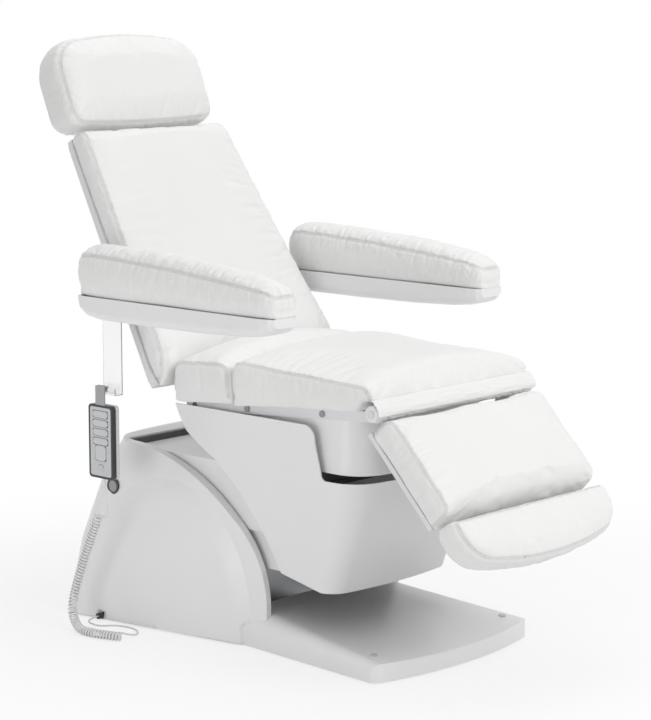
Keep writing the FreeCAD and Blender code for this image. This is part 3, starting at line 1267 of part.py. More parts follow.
floor_height = s.coil_radius + s.lead_lift
coil_corners = [
    at(s.coil_top_front, s.coil_top_up, -s.coil_top_side),
    at(s.coil_low_front, s.coil_low_up, -s.coil_top_side),
    at(s.coil_turn_front, floor_height, -s.coil_turn_side),
    at(s.coil_out_front, floor_height, -s.coil_out_side),
    at(s.coil_end_front, floor_height, -s.coil_end_side),
]
coil_wind = s.coil_radius - s.coil_wire
coil_edges, coil_ways = coil(coil_corners, int(s.coil_turns), coil_wind, s.coil_wire, X_AXIS)
coil_start = coil_edges[0].Vertexes[0].Point
coil_end = coil_edges[-1].Vertexes[-1].Point
flat_ring = Part.makePolygon([
    coil_start + (coil_side * math.cos(QUARTER * i) + coil_up * math.sin(QUARTER * i)) * s.coil_wire
    for coil_side, coil_up in [(coil_ways[0].cross(X_AXIS).normalize(),
                                coil_ways[0].cross(coil_ways[0].cross(X_AXIS)).normalize())]
    for i in (0, 1, 2, 3, 0)])
coil_shape = Part.Wire(coil_edges).makePipeShell([flat_ring], True, False)
node("handset_coil", solid("handset_coil", coil_shape))
print("coil: gap between curls", round(coil_gap(coil_edges, int(s.coil_turns), s.coil_wire), 2),
      "wire", round(sum(edge.Length for edge in coil_edges)), "start", coil_start, "end", coil_end)

outlet = seated(s.handset_ahead, -0.5 * s.handset_tall - s.handset_below,
                -s.handset_side - 0.5 * s.handset_thick)
lead_down = outlet - Vector(0, 0, s.lead_outlet + 2 * s.lead_outlet)
coil_entry = coil_start - coil_ways[0] * (2 * s.lead_outlet)
lead_edges = route([outlet, lead_down, coil_entry, coil_start])
node("handset_lead", solid("handset_lead", tube(lead_edges, s.lead_radius, Vector(0, 0, -1))))
lead_up = s.lead_radius + s.lead_lift
floor_corners = [coil_end, coil_end + coil_ways[-1] * (2 * s.lead_outlet)]
floor_corners += [at(s.lead_near_front, lead_up, -s.lead_near_side),
                  at(s.lead_far_front, lead_up, -s.lead_far_side),
                  at(s.lead_loop_front, lead_up, -s.lead_loop_side),
                  at(s.lead_back_front, lead_up, -s.lead_back_side),
                  at(s.gland_front, s.gland_up, -s.lead_back_side),
                  at(s.gland_front, s.gland_up, 0.5 * s.gland_long - s.gland_side)]
base_edges = route(floor_corners)
node("base_lead", solid("base_lead", tube(base_edges, s.lead_radius, coil_ways[-1])))

# Everything is checked before it is written
doc.recompute()
for piece in doc.Objects:
    if "Invalid" in piece.State or "Error" in piece.State:
        raise RuntimeError(f"{piece.Name} did not recompute: {piece.State}")
os.makedirs("parts", exist_ok=True)
for label, piece in parts.items():
    shape = piece.Shape
    if shape.isNull() or not shape.isValid() or not shape.Solids:
        raise RuntimeError(f"{label} has no sound shape")
    if shape.Volume < 0:
        raise RuntimeError(f"{label} is inside out")
    shape.exportStep(f"parts/{label}.step")
for name, place in (("tilt", seat_place), ("back", back_place), ("leg", leg_place),
                    ("foot", foot_place), ("head", head_place), ("arm", arm_place)):
    print("hinge", name, [round(value, 3) for value in place.Base])
print("written:", len(parts), "pieces")
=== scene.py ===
import json
import math
import bmesh
import bpy
import numpy as np
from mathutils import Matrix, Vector
from mathutils.bvhtree import BVHTree


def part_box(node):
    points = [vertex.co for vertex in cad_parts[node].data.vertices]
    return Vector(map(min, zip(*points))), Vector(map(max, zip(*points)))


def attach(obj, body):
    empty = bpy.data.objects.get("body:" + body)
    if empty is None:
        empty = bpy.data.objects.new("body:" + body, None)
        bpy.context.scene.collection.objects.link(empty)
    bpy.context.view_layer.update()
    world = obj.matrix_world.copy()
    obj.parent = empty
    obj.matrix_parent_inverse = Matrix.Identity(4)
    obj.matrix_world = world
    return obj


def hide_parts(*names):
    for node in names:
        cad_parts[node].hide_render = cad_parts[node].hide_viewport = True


# %% [markdown]
# The chair's solids come in as a fixed frame. Everything that follows is dressed onto it: each new
# piece is worked out in the same coordinates, in metres, and rides on one of its bodies.

# %% Load the frame
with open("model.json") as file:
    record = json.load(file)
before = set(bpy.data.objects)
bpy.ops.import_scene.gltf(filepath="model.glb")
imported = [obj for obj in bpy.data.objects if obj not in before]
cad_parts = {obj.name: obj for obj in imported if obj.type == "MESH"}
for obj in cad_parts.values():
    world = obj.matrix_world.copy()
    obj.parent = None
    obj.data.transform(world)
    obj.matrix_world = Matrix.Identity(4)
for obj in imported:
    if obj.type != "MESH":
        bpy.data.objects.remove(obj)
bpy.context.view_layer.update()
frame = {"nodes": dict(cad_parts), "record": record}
scene = bpy.context.scene
scene.view_settings.view_transform = "Standard"

# %% [markdown]
# The padding and the cords are all surfaces over a grid of points. Such a piece could be modelled
# by hand, but a formula gives the same shape each time and is easy to change. So one helper turns
# a grid into a mesh: rows are joined to the next row by quads, and a tube closes on itself.


# %% Grids of points to meshes
def linked(name, data):
    """An object at the origin that holds a mesh, a curve, a lamp or a camera."""
    piece = bpy.data.objects.new(name, data)
    scene.collection.objects.link(piece)
    return piece


def smooth_mesh(name, points, faces):
    """An object at the origin from points and faces, with smooth shading."""
    mesh = bpy.data.meshes.new(name)
    mesh.from_pydata(points.reshape(-1, 3).tolist(), [], faces)
    mesh.polygons.foreach_set("use_smooth", np.ones(len(mesh.polygons), dtype=bool))
    mesh.update()
    return linked(name, mesh)


def grid_faces(rows, columns, closed):
    """Quads between neighbouring rows and columns; a closed grid joins its last column to its
    first."""
    steps = columns if closed else columns - 1
    r, c = np.meshgrid(np.arange(rows - 1), np.arange(steps), indexing="ij")
    after = (c + 1) % columns
    quads = np.stack([r * columns + c, r * columns + after, (r + 1) * columns + after,
                      (r + 1) * columns + c], axis=-1)
    return quads.reshape(-1, 4)


def grid_mesh(name, points, closed=False, capped=False, flip=False):
    """An object at the origin from points[row, column, xyz]; caps close both ends of a tube."""
    rows, columns = points.shape[:2]
    faces = grid_faces(rows, columns, closed).tolist()
    if capped:
        faces.append(list(range(columns))[::-1])
        faces.append(list(range((rows - 1) * columns, rows * columns)))
    if flip:
        faces = [face[::-1] for face in faces]
    return smooth_mesh(name, points, faces)


def add_wall(piece, thickness, offset):
    """Gives a thin skin a wall."""
    wall = piece.modifiers.new("wall", "SOLIDIFY")
    wall.thickness = thickness
    wall.offset = offset


def dress(piece, material, body):
    """Gives a piece its finish and the body that it rides on."""
    piece.data.materials.append(material)
    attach(piece, body)


def coordinates(mesh):
    """All vertex places of a mesh as one array."""
    places = np.empty(len(mesh.vertices) * 3)
    mesh.vertices.foreach_get("co", places)
    return places.reshape(-1, 3)


def unit(vectors):
    """Vectors scaled to length one."""
    return vectors / np.maximum(np.linalg.norm(vectors, axis=-1, keepdims=True), 1e-12)


def circle(sides):
    """Angles of evenly spaced points once round a circle."""
    return np.linspace(0, 2 * np.pi, sides, endpoint=False)


print("a strip of 3 by 4 points has", len(grid_faces(3, 4, False)), "faces")

# %% [markdown]
# The camera stands where the photographer stood: to the sitter's right and ahead, a little above
# the armrests, far back with a long lens so that the lines stay nearly parallel.

# %% Camera
CAMERA_PLACE = (-4.3592, -4.0585, 1.6393)
CAMERA_DOWN, CAMERA_TURN = 9.012, -47.36
FOCAL_LENGTH, FILM_WIDTH = 118.5, 36
VIEW_DEPTH = 50

lens = bpy.data.cameras.new("studio_camera")
lens.lens = FOCAL_LENGTH
lens.sensor_width = FILM_WIDTH
lens.clip_end = VIEW_DEPTH
camera = linked("studio_camera", lens)
camera.location = CAMERA_PLACE
camera.rotation_euler = (math.radians(90 - CAMERA_DOWN), 0, math.radians(CAMERA_TURN))
scene.camera = camera
print("camera at", CAMERA_PLACE, "with a lens of", FOCAL_LENGTH, "mm")

# %% [markdown]
# The handset hangs on one cord: a short straight lead, a curly part that runs down and lies on the
# floor, and a lead that loops over the floor into the hood. Each lies on one smooth NURBS curve
# through the same route as the solids, because such a curve bends like a wire between a few
# points. Blender works the curve out, and its points are read back evenly spaced.


# %% Route of the curly cord
def nurbs_curve(name, points):
    """A smooth curve without thickness, with the route's points as its control points."""
    curve = bpy.data.curves.new(name, "CURVE")
    curve.dimensions = "3D"
    spline = curve.splines.new("NURBS")
    spline.points.add(len(points) - 1)
    spline.points.foreach_set("co", [value for point in points for value in (*point, 1.0)])
    spline.order_u = 3
    spline.use_endpoint_u = True
    spline.resolution_u = 24
    return linked(name, curve)


def read_line(piece):
    """Points along a curve with no thickness, as Blender works them out."""
    line = bpy.data.meshes.new_from_object(piece)
    points = coordinates(line)
    bpy.data.meshes.remove(line)
    return points


def resample(points, count):
    """The same line with evenly spaced points, and its length."""
    steps = np.linalg.norm(np.diff(points, axis=0), axis=1)
    along = np.concatenate([[0.0], np.cumsum(steps)])
    even = np.linspace(0.0, along[-1], count)
    columns = [np.interp(even, along, column) for column in points.T]
    return np.stack(columns, axis=1), along[-1]


SPINE_POINTS = 1601
COIL_ROUTE = [(-0.429, 0.344, 0.306), (-0.429, 0.459, 0.072), (-0.456, 0.408, 0.0132),
              (-0.480, 0.330, 0.0132), (-0.444, 0.246, 0.0132)]
coil_spine = nurbs_curve("coil_spine", COIL_ROUTE)
spine, spine_length = resample(read_line(coil_spine), SPINE_POINTS)
bpy.data.objects.remove(coil_spine)
print("the coil's middle line is", round(spine_length, 3), "m long")

# %% [markdown]
# A curly cord is a wire wound round a line that itself bends. A screw modifier would only give a
# straight coil, so the helix is worked out: a pair of directions square to the line is carried
# along it without twisting, and the wire's middle goes round in them while it moves on.


# %% Wind the curls
CURLS = 55.75
WIND_RADIUS = 0.0094
WIRE_RADIUS = 0.0026


def carried_normals(line, first):
    """Normals carried along a line: each is the one before it, less its part along the line."""
    ways = unit(np.gradient(line, axis=0))
    normals = np.empty_like(line)
    current = np.array(first, dtype=float)
    for i, way in enumerate(ways):
        current = unit(current - way * np.dot(current, way))
        normals[i] = current
    return ways, normals


def circles_along(line, ways, normals, radius, sides):
    """At every point of a line, a circle of points square to it."""
    turn = circle(sides)[None, :, None]
    across = np.cross(ways, normals)
    return line[:, None] + radius * (np.cos(turn) * normals[:, None]
                                     + np.sin(turn) * across[:, None])


def tube_round(name, line, radius, sides=10):
    """A round tube along a line, with closed ends."""
    ways, normals = carried_normals(line, (0.3, 0.2, 0.93))
    rings = circles_along(line, ways, normals, radius, sides)
    return grid_mesh(name, rings, closed=True, capped=True)


def line_length(points):
    """Length of a line from point to point."""
    return float(np.linalg.norm(np.diff(points, axis=0), axis=1).sum())


ways, normals = carried_normals(spine, (1, 0, 0))
angle = np.linspace(0, 2 * np.pi * CURLS, len(spine))
sides = np.cross(normals, ways)
curls = spine + WIND_RADIUS * (np.cos(angle)[:, None] * normals + np.sin(angle)[:, None] * sides)
first_way, last_way = unit(curls[1] - curls[0]), unit(curls[-1] - curls[-2])
straight = np.linspace(0, 1, 5)[1:, None] * 2 * WIRE_RADIUS
curls = np.concatenate([(curls[0] - straight * first_way)[::-1], curls,
                        curls[-1] + straight * last_way])
coil = tube_round("cord_coil", curls, WIRE_RADIUS)
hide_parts("handset_coil")
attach(coil, "base")
print("curly wire:", round(line_length(curls), 3), "m")

# %% [markdown]
# The plain leads leave the curls along the wire's own direction and bend away from there: one up
# into the handset, one over the floor into the hood. They are tubes along the same kind of smooth
# curve.


# %% Straight leads
LEAD_RADIUS = 0.0022
LEAD_ABOVE_FLOOR = 0.0034
LEAD_DROP, STRAIGHT_START = 0.036, 0.024
LEAD_POINTS, LEAD_SIDES = 240, 14
OUTLET = (-0.416, 0.33172, 0.40622)


def smooth_line(route):
    """Evenly spaced points along the smooth curve through a route."""
    curve = nurbs_curve("measured", route)
    points = resample(read_line(curve), LEAD_POINTS)[0]
    bpy.data.objects.remove(curve)
    return points


hang = np.array(OUTLET) - np.array((0, 0, LEAD_DROP))
lead_route = [OUTLET, tuple(hang), tuple(curls[0] - first_way * STRAIGHT_START), tuple(curls[0])]
lead_line = smooth_line(lead_route)
lead = tube_round("cord_lead", lead_line, LEAD_RADIUS, LEAD_SIDES)
FLOOR_TURNS = [(-0.378, 0.254), (-0.345, 0.298), (-0.352, 0.362), (-0.397, 0.392)]
base_route = [tuple(curls[-1]), tuple(curls[-1] + last_way * STRAIGHT_START),
              *[(x, y, LEAD_ABOVE_FLOOR) for x, y in FLOOR_TURNS],
              (-0.397, 0.440, 0.012), (-0.334, 0.440, 0.012)]
base_line = smooth_line(base_route)
base_lead = tube_round("cord_floor_lead", base_line, LEAD_RADIUS, LEAD_SIDES)
for piece, node, body in ((lead, "handset_lead", "handset"), (base_lead, "base_lead", "base")):
    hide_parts(node)
    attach(piece, body)
print("leads from", lead_route[0], "and into the hood at", base_route[-1])

# %% [markdown]
# Each cord's length and how it lies are printed.

for piece, line, radius, lay, start in ((coil, curls, WIRE_RADIUS, "coiled", tuple(curls[0])),
                                        (lead, lead_line, LEAD_RADIUS, "hanging", OUTLET),
                                        (base_lead, base_line, LEAD_RADIUS, "loose",
                                         tuple(curls[-1]))):
    print(piece.name, round(line_length(line), 3), "m", lay)

# %% [markdown]
# A pale studio: a floor that takes the shadow and turns white where only the camera looks, and
# broad soft lamps, so that white covers keep their shading instead of clipping. A white surface
# shows its form only by soft differences of light, so one large lamp leads and the others fill.


# %% Lamps
def lamp(name, place, target, size, power):
    """A square lamp at a place, turned to shine at its target."""
    light = bpy.data.lights.new(name, "AREA")
    light.shape = "RECTANGLE"
    light.size = size
    light.size_y = size
    light.energy = power
    stand = linked(name, light)
    place = np.array(place, dtype=float)
    way = unit(np.array(target, dtype=float) - place)
    stand.location = place
    stand.rotation_euler = (math.acos(-way[2]), 0, math.atan2(way[0], -way[1]) + math.pi)


lamp("key_lamp", (0.2, -3.6, 3.0), (0, 0, 0.6), 2.2, 74)
lamp("side_lamp", (-2.3, 0.0, 0.3), (-0.3, 0.3, 0.2), 0.9, 9)
lamp("top_lamp", (0.6, 0.8, 4.2), (0, 0, 0.5), 3.0, 42)

# %% [markdown]
# The floor is one large flat face. Near the chair it is a matt white that takes the shadow. Seen
# directly it is mixed with plain white, more so further out, and the world behind it is white too,
# so the ground has no horizon. Rays that light the chair meet the matt floor and a dimmer world.


# %% Floor and backdrop
FLOOR_HALF = 9
FADE_START, FADE_END = 0.5, 2.0
WHITE_NEAR, WHITE_FAR = 0.72, 1.0
FLOOR_TONE, FLOOR_ROUGHNESS, FLOOR_GLOSS = 0.9, 0.9, 0.1
WORLD_LIGHT = 0.5

floor_points = np.stack(np.meshgrid(np.linspace(-FLOOR_HALF, FLOOR_HALF, 2),
                                    np.linspace(-FLOOR_HALF, FLOOR_HALF, 2), [0.0]), -1)
floor = grid_mesh("studio_floor", floor_points.reshape(2, 2, 3))


def shader_node(nodes, kind, inputs=(), **options):
    """A new node with options set first and then some of its inputs."""
    made = nodes.new("ShaderNode" + kind)
    for option, value in options.items():
        setattr(made, option, value)
    for socket, value in dict(inputs).items():
        made.inputs[socket].default_value = value
    return made


def seen_directly(nodes, links):
    """One for camera, glossy and transmission rays, zero for the rays that light the object."""
    path = nodes.new("ShaderNodeLightPath")
    value = path.outputs["Is Camera Ray"]
    for ray in ("Is Glossy Ray", "Is Transmission Ray"):
        larger = shader_node(nodes, "Math", operation="MAXIMUM")
        links.new(value, larger.inputs[0])
        links.new(path.outputs[ray], larger.inputs[1])
        value = larger.outputs[0]
    return value


floor_finish = bpy.data.materials.new("studio_floor")
floor_finish.use_nodes = True
nodes, links = floor_finish.node_tree.nodes, floor_finish.node_tree.links
paint = nodes["Principled BSDF"]
paint.inputs["Base Color"].default_value = (FLOOR_TONE, FLOOR_TONE, FLOOR_TONE, 1)
paint.inputs["Roughness"].default_value = FLOOR_ROUGHNESS
paint.inputs["Specular IOR Level"].default_value = FLOOR_GLOSS
white = shader_node(nodes, "Emission", {"Color": (1, 1, 1, 1)})
place = shader_node(nodes, "TexCoord")
distance = shader_node(nodes, "VectorMath", operation="LENGTH")
fade = shader_node(nodes, "MapRange", {"From Min": FADE_START, "From Max": FADE_END,
                                       "To Min": WHITE_NEAR, "To Max": WHITE_FAR},
                   interpolation_type="SMOOTHSTEP")
share = shader_node(nodes, "Math", operation="MULTIPLY")
blend = shader_node(nodes, "MixShader")
for start, end in ((place.outputs["Object"], distance.inputs[0]),
                   (distance.outputs["Value"], fade.inputs["Value"]),
                   (seen_directly(nodes, links), share.inputs[0]),
                   (fade.outputs["Result"], share.inputs[1]),
                   (share.outputs[0], blend.inputs["Fac"]),
                   (paint.outputs["BSDF"], blend.inputs[1]),
                   (white.outputs["Emission"], blend.inputs[2]),
                   (blend.outputs["Shader"], nodes["Material Output"].inputs["Surface"])):
    links.new(start, end)
floor.data.materials.append(floor_finish)

world = bpy.data.worlds.new("studio")
world.use_nodes = True
scene.world = world
nodes, links = world.node_tree.nodes, world.node_tree.links
background = nodes["Background"]
background.inputs["Color"].default_value = (1, 1, 1, 1)
strength = shader_node(nodes, "MapRange", {"To Min": WORLD_LIGHT, "To Max": 1.0})
links.new(seen_directly(nodes, links), strength.inputs["Value"])
links.new(strength.outputs["Result"], background.inputs["Strength"])
print("floor:", 2 * FLOOR_HALF, "m wide, white from", FADE_END, "m out")

# %% [markdown]
# Finishes come next. The padding is white synthetic leather: a fine pebbled grain, a slight sheen,
# and a darker line of painted shade along the seams, where their grooves fall in shade. The covers
# are moulded plastic with the faint waviness of a large moulding. A picture could give such detail,
# but noise on the object's own coordinates has no seams, needs no unwrapping and stays sharp from
# close up.


# %% How a finish is made
COAT_ROUGHNESS = 0.15
LIGHTER_SHARE = 0.6
SMOOTHER, ROUGHER = 0.85, 1.18


def relief_node(nodes, links, source, height, before=None):
    """Raises the surface by a height where the source is one, on top of the relief before it."""
    bump = shader_node(nodes, "Bump", {"Distance": height, "Strength": 1.0})
    links.new(source, bump.inputs["Height"])
    if before is not None:
        links.new(before.outputs["Normal"], bump.inputs["Normal"])
    return bump


def colour_mix(nodes, links, factor, first, second):
    """A colour that goes from the first to the second as the factor goes from zero to one. Each
    colour is three numbers or another node's output."""
    mix = shader_node(nodes, "Mix", data_type="RGBA")
    for socket, colour in (("A", first), ("B", second)):
        if isinstance(colour, bpy.types.NodeSocket):
            links.new(colour, mix.inputs[socket])
        else:
            mix.inputs[socket].default_value = (*colour, 1)
    links.new(factor, mix.inputs["Factor"])
    return mix.outputs["Result"]


def finish(name, colour, roughness, grain_scale, grain_height, metallic=0.0, coat=0.0,
           spread=0.03, spread_scale=6.0, cells=False, wave_height=0.0, sheen=0.0,
           stretch=(1, 1, 1), painted_seam_shade=0.0, clear=0.0):
    """A material whose tone, roughness and fine relief are worked out from the object's own
    coordinates: slow noise varies tone and roughness, fast noise or cells give the grain."""
    material = bpy.data.materials.new(name)
    material.use_nodes = True
    nodes, links = material.node_tree.nodes, material.node_tree.links
    shader = nodes["Principled BSDF"]
    for socket, value in (("Metallic", metallic), ("Coat Weight", coat),
                          ("Coat Roughness", COAT_ROUGHNESS), ("Sheen Weight", sheen),
                          ("Transmission Weight", clear)):
        shader.inputs[socket].default_value = value
    place = shader_node(nodes, "TexCoord")
    mapping = shader_node(nodes, "Mapping", {"Scale": stretch})
    links.new(place.outputs["Object"], mapping.inputs["Vector"])
    slow = shader_node(nodes, "TexNoise", {"Scale": spread_scale, "Detail": 4})
    links.new(mapping.outputs["Vector"], slow.inputs["Vector"])
    dark = [max(0.0, value * (1 - spread)) for value in colour]
    light = [min(1.0, value * (1 + LIGHTER_SHARE * spread)) for value in colour]
    tone = colour_mix(nodes, links, slow.outputs["Fac"], dark, light)
    # Painted shade: the tone darkens along the seams, where the seam grooves fall in shade.
    if painted_seam_shade:
        painted_shade_mask = shader_node(nodes, "Attribute", attribute_name="seam")
        tone = colour_mix(nodes, links, painted_shade_mask.outputs["Fac"], tone,
                          [value * (1 - painted_seam_shade) for value in colour])
    links.new(tone, shader.inputs["Base Color"])
    rough = shader_node(nodes, "MapRange", {"To Min": max(0.02, roughness * SMOOTHER),
                                            "To Max": min(1.0, roughness * ROUGHER)})
    links.new(slow.outputs["Fac"], rough.inputs["Value"])
    links.new(rough.outputs["Result"], shader.inputs["Roughness"])
    if cells:
        fine = shader_node(nodes, "TexVoronoi", {"Scale": grain_scale}, feature="SMOOTH_F1")
        grain = fine.outputs["Distance"]
    else:
        fine = shader_node(nodes, "TexNoise", {"Scale": grain_scale, "Detail": 2})
        grain = fine.outputs["Fac"]
    links.new(mapping.outputs["Vector"], fine.inputs["Vector"])
    relief = relief_node(nodes, links, grain, grain_height)
    if wave_height:
        relief = relief_node(nodes, links, slow.outputs["Fac"], wave_height, relief)
    links.new(relief.outputs["Normal"], shader.inputs["Normal"])
    return material


print("a finish has a tone, a roughness, a grain and, on large mouldings, a slow wave")

# %% [markdown]
# Every slot of the frame gets its finish. Whites differ a little from each other, as leather,
# plastic and painted steel do, and each has its own gloss and grain.

# %% The finishes
# The leather's darkening along the seams is painted shade for the seam grooves.
leather = finish("white_leather", (0.83, 0.828, 0.822), 0.46, 520, 0.00022, spread=0.02,
                 spread_scale=9, cells=True, sheen=0.04, painted_seam_shade=0.3)
thread = finish("sewing_thread", (0.58, 0.58, 0.575), 0.6, 2500, 0.0001)
moulding = finish("white_moulding", (0.83, 0.828, 0.835), 0.32, 380, 0.00003, spread=0.015,
                  spread_scale=3, wave_height=0.0006, coat=0.1)
slot_finishes = {
    "cover_white": moulding,
    "arm_white": finish("arm_moulding", (0.83, 0.828, 0.835), 0.36, 420, 0.00003),
    "board_skin": finish("board_moulding", (0.78, 0.78, 0.79), 0.5, 500, 0.00005),
    "frame_white": finish("white_powder_coat", (0.76, 0.76, 0.78), 0.42, 1400, 0.00006),
    "hanger_white": finish("clear_hanger", (0.97, 0.97, 0.98), 0.06, 60, 0.00002, clear=0.9,
                           spread=0.01),
    "pad_rubber": finish("floor_pad_rubber", (0.03, 0.03, 0.03), 0.8, 900, 0.0001, spread=0.2),
    "base_steel": finish("grey_powder_coat", (0.13, 0.135, 0.14), 0.5, 1300, 0.00008, spread=0.08),
    "column_steel": finish("brushed_column", (0.5, 0.51, 0.52), 0.3, 60, 0.00004, metallic=1.0,
                           spread=0.05, stretch=(12, 12, 1)),
    "pin_steel": finish("polished_pins", (0.62, 0.62, 0.63), 0.16, 500, 0.00001, metallic=1.0,
                        spread=0.04),
    "screw_cap": finish("screw_caps", (0.55, 0.56, 0.58), 0.35, 400, 0.00002),
    "board": finish("plywood", (0.45, 0.31, 0.18), 0.6, 200, 0.0002, spread=0.25,
                    spread_scale=30, stretch=(1, 12, 12)),
    "cap_grey": finish("rail_caps", (0.3, 0.31, 0.32), 0.45, 500, 0.00003),
    "hub_grey": finish("hub_moulding", (0.32, 0.32, 0.33), 0.45, 600, 0.00004),
    "handset_dark": finish("handset_bezel", (0.035, 0.036, 0.04), 0.42, 1500, 0.00006,
                           spread=0.1),
    "handset_silver": finish("handset_face", (0.56, 0.575, 0.58), 0.42, 1600, 0.00003,
                             metallic=0.1),
    "key_grey": finish("handset_keys", (0.6, 0.615, 0.62), 0.45, 900, 0.00002),
    "badge_black": finish("badge_ring", (0.015, 0.015, 0.016), 0.18, 500, 0.00001, coat=0.5),
    "badge_silver": finish("badge_disc", (0.3, 0.3, 0.31), 0.35, 700, 0.00002, metallic=0.6),
    "gland_dark": finish("gland_rubber", (0.04, 0.04, 0.045), 0.6, 800, 0.00005),
    "cord_white": finish("cord_sheath", (0.74, 0.74, 0.745), 0.38, 900, 0.00002, sheen=0.02),
    "upholstery": leather,
}
print("finishes:", len(slot_finishes))

# %% [markdown]
# The handset's case is one solid, but its front edge is dark and the shell behind it grey. The
# tone changes at a fixed depth behind the face, so the same finish serves both.

# %% Two-tone handset case
BEZEL_DEPTH = 0.013
bezel = slot_finishes["handset_dark"]
nodes, links = bezel.node_tree.nodes, bezel.node_tree.links
shader = nodes["Principled BSDF"]
dark_front = shader.inputs["Base Color"].links[0].from_socket
place = shader_node(nodes, "TexCoord")
parts = shader_node(nodes, "SeparateXYZ")
behind = shader_node(nodes, "Math", operation="GREATER_THAN")
behind.inputs[1].default_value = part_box("handset_case")[0][0] + BEZEL_DEPTH
links.new(place.outputs["Object"], parts.inputs["Vector"])
links.new(parts.outputs["X"], behind.inputs[0])
two_tone = colour_mix(nodes, links, behind.outputs["Value"], dark_front, (0.62, 0.63, 0.64))
links.new(two_tone, shader.inputs["Base Color"])
print("the case turns grey at x =", round(behind.inputs[1].default_value, 4))

# %% [markdown]
# The solids are shown as they are wherever they already have the right shape, so most of them only
# need the finish of their slot. The strap of the handset's hook has one of its own.

# %% Finishes onto the solids
strap_finish = finish("hook_strap", (0.4, 0.4, 0.41), 0.6, 700, 0.0001, spread=0.06)
slot_of = {entry["node"]: entry["material_slot"] for entry in frame["record"]["subparts"]}
for node, piece in frame["nodes"].items():
    chosen = strap_finish if node == "handset_hook" else slot_finishes[slot_of[node]]
    piece.data.materials.clear()
    piece.data.materials.append(chosen)
for piece in (coil, lead, base_lead):
    piece.data.materials.append(slot_finishes["cord_white"])
print("solids with a finish:", len(slot_of))

# %% [markdown]
# The keys of the handset are films with a thin dark outline. A printed line would need a picture,
# so each outline is a fine round bead along a rounded rectangle round its key, on the handset's
# face. A sixth bead is the oval under the keys.


# %% Key outlines
outline_finish = finish("key_outline", (0.12, 0.125, 0.13), 0.5, 900, 0.00002, spread=0.1)
KEY_MARGIN, KEY_CORNER = 0.0016, 0.0052
OUTLINE_RADIUS, OUTLINE_SUNK = 0.0005, 0.0002
OVAL_HALF, OVAL_DROP, OVAL_PROUD = (0.0095, 0.0065), 0.017, 0.0006


def closed_bead(name, line, radius, sides=6):
    """A round bead along a closed line: circles square to it, the last joined to the first."""
    ways = unit(np.roll(line, -1, axis=0) - np.roll(line, 1, axis=0))
    out = np.zeros_like(line) + np.array([1.0, 0, 0])
    rings = circles_along(line, ways, out, radius, sides)
    return grid_mesh(name, np.concatenate([rings, rings[:1]]), closed=True, flip=True)


def rounded_rectangle(low, high, corner, count=10):
    """Points (y, z) round a rectangle with circular corners: a quarter circle about each corner's
    centre, in turn."""
    turn = np.linspace(0, 0.5 * np.pi, count)
    right, left = high[0] - corner, low[0] + corner
    upper, lower = high[1] - corner, low[1] + corner
    parts = []
    for k, (y, z) in enumerate(((right, upper), (left, upper), (left, lower), (right, lower))):
        parts.append(np.stack([y + corner * np.cos(turn + 0.5 * np.pi * k),
                               z + corner * np.sin(turn + 0.5 * np.pi * k)], axis=1))
    return np.concatenate(parts)


face_low, face_high = (np.array(corner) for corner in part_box("handset_face"))
face_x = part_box("handset_case")[0][0] + OUTLINE_SUNK
beads = []
for key in range(1, 6):
    low, high = (np.array(corner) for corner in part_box(f"handset_key_{key}"))
    flat = rounded_rectangle(low[1:] - KEY_MARGIN, high[1:] + KEY_MARGIN, KEY_CORNER)
    beads.append(np.column_stack([np.full(len(flat), face_x), flat]))
oval = circle(40)
oval_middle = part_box("handset_key_5")[0][2] - OVAL_DROP
middle = 0.5 * (face_low[1] + face_high[1])
beads.append(np.stack([np.full(40, face_x - OVAL_PROUD), middle + OVAL_HALF[0] * np.cos(oval),
                       oval_middle + OVAL_HALF[1] * np.sin(oval)], axis=1))
for k, line in enumerate(beads):
    bead = closed_bead(f"key_outline_{k + 1}", line, OUTLINE_RADIUS)
    dress(bead, outline_finish, "handset")
print("outlines:", len(beads), "from", np.round(face_low, 3), "to", np.round(face_high, 3))

# %% [markdown]
# Each side of the hood is a large moulding with a flat arch-shaped field, and round the field a
# broad band that falls away from it, which catches the light along its creases. Cut into the
# hood's solid it would need many faces, so both are one thin skin here: a fan of points over the
# field and the band, dropped onto the hood by rays and lifted by a few millimetres.


# %% Hood sides
FIELD_RISE, BAND_FALL = 0.009, 1.15
CREASE_DEPTH, CREASE_ROWS = 0.0004, 1.6
EDGE_STEPS, FIELD_ROWS, BAND_ROWS = 120, 26, 13
FIELD_FOOT, FIELD_MIDDLE = np.array([0.265, 0.004]), np.array([0.265, 0.1])
HOOD_CLEAR, HOOD_LEAST = 0.25, 0.2
SKIN_THICK, MERGE_DISTANCE = 0.0015, 0.00001
FIELD_EDGE = np.array([(0.525, 0.004), (0.515, 0.065), (0.491, 0.156), (0.432, 0.261),
                       (0.346, 0.325), (0.245, 0.348), (0.132, 0.310), (0.050, 0.219),
                       (0.016, 0.107), (0.008, 0.004)])
BAND_WIDTH = np.array([0.010, 0.018, 0.030, 0.044, 0.054, 0.060, 0.056, 0.050, 0.050, 0.050])


def corner_cut(points, times=4):
    """Chaikin's smoothing: every corner is cut at a quarter and three quarters of its runs."""
    for _ in range(times):
        inner = np.stack([0.75 * points[:-1] + 0.25 * points[1:],
                          0.25 * points[:-1] + 0.75 * points[1:]], axis=1)
        inner = inner.reshape(-1, points.shape[1])
        points = np.concatenate([points[:1], inner, points[-1:]])
    return points


def surface_tree(points, mesh):
    """A tree for rays and nearest points over a mesh's faces, with its vertices at the points."""
    return BVHTree.FromPolygons(points.tolist(), [tuple(face.vertices) for face in mesh.polygons])


hood = frame["nodes"]["hood"].data
hood_tree = surface_tree(coordinates(hood), hood)


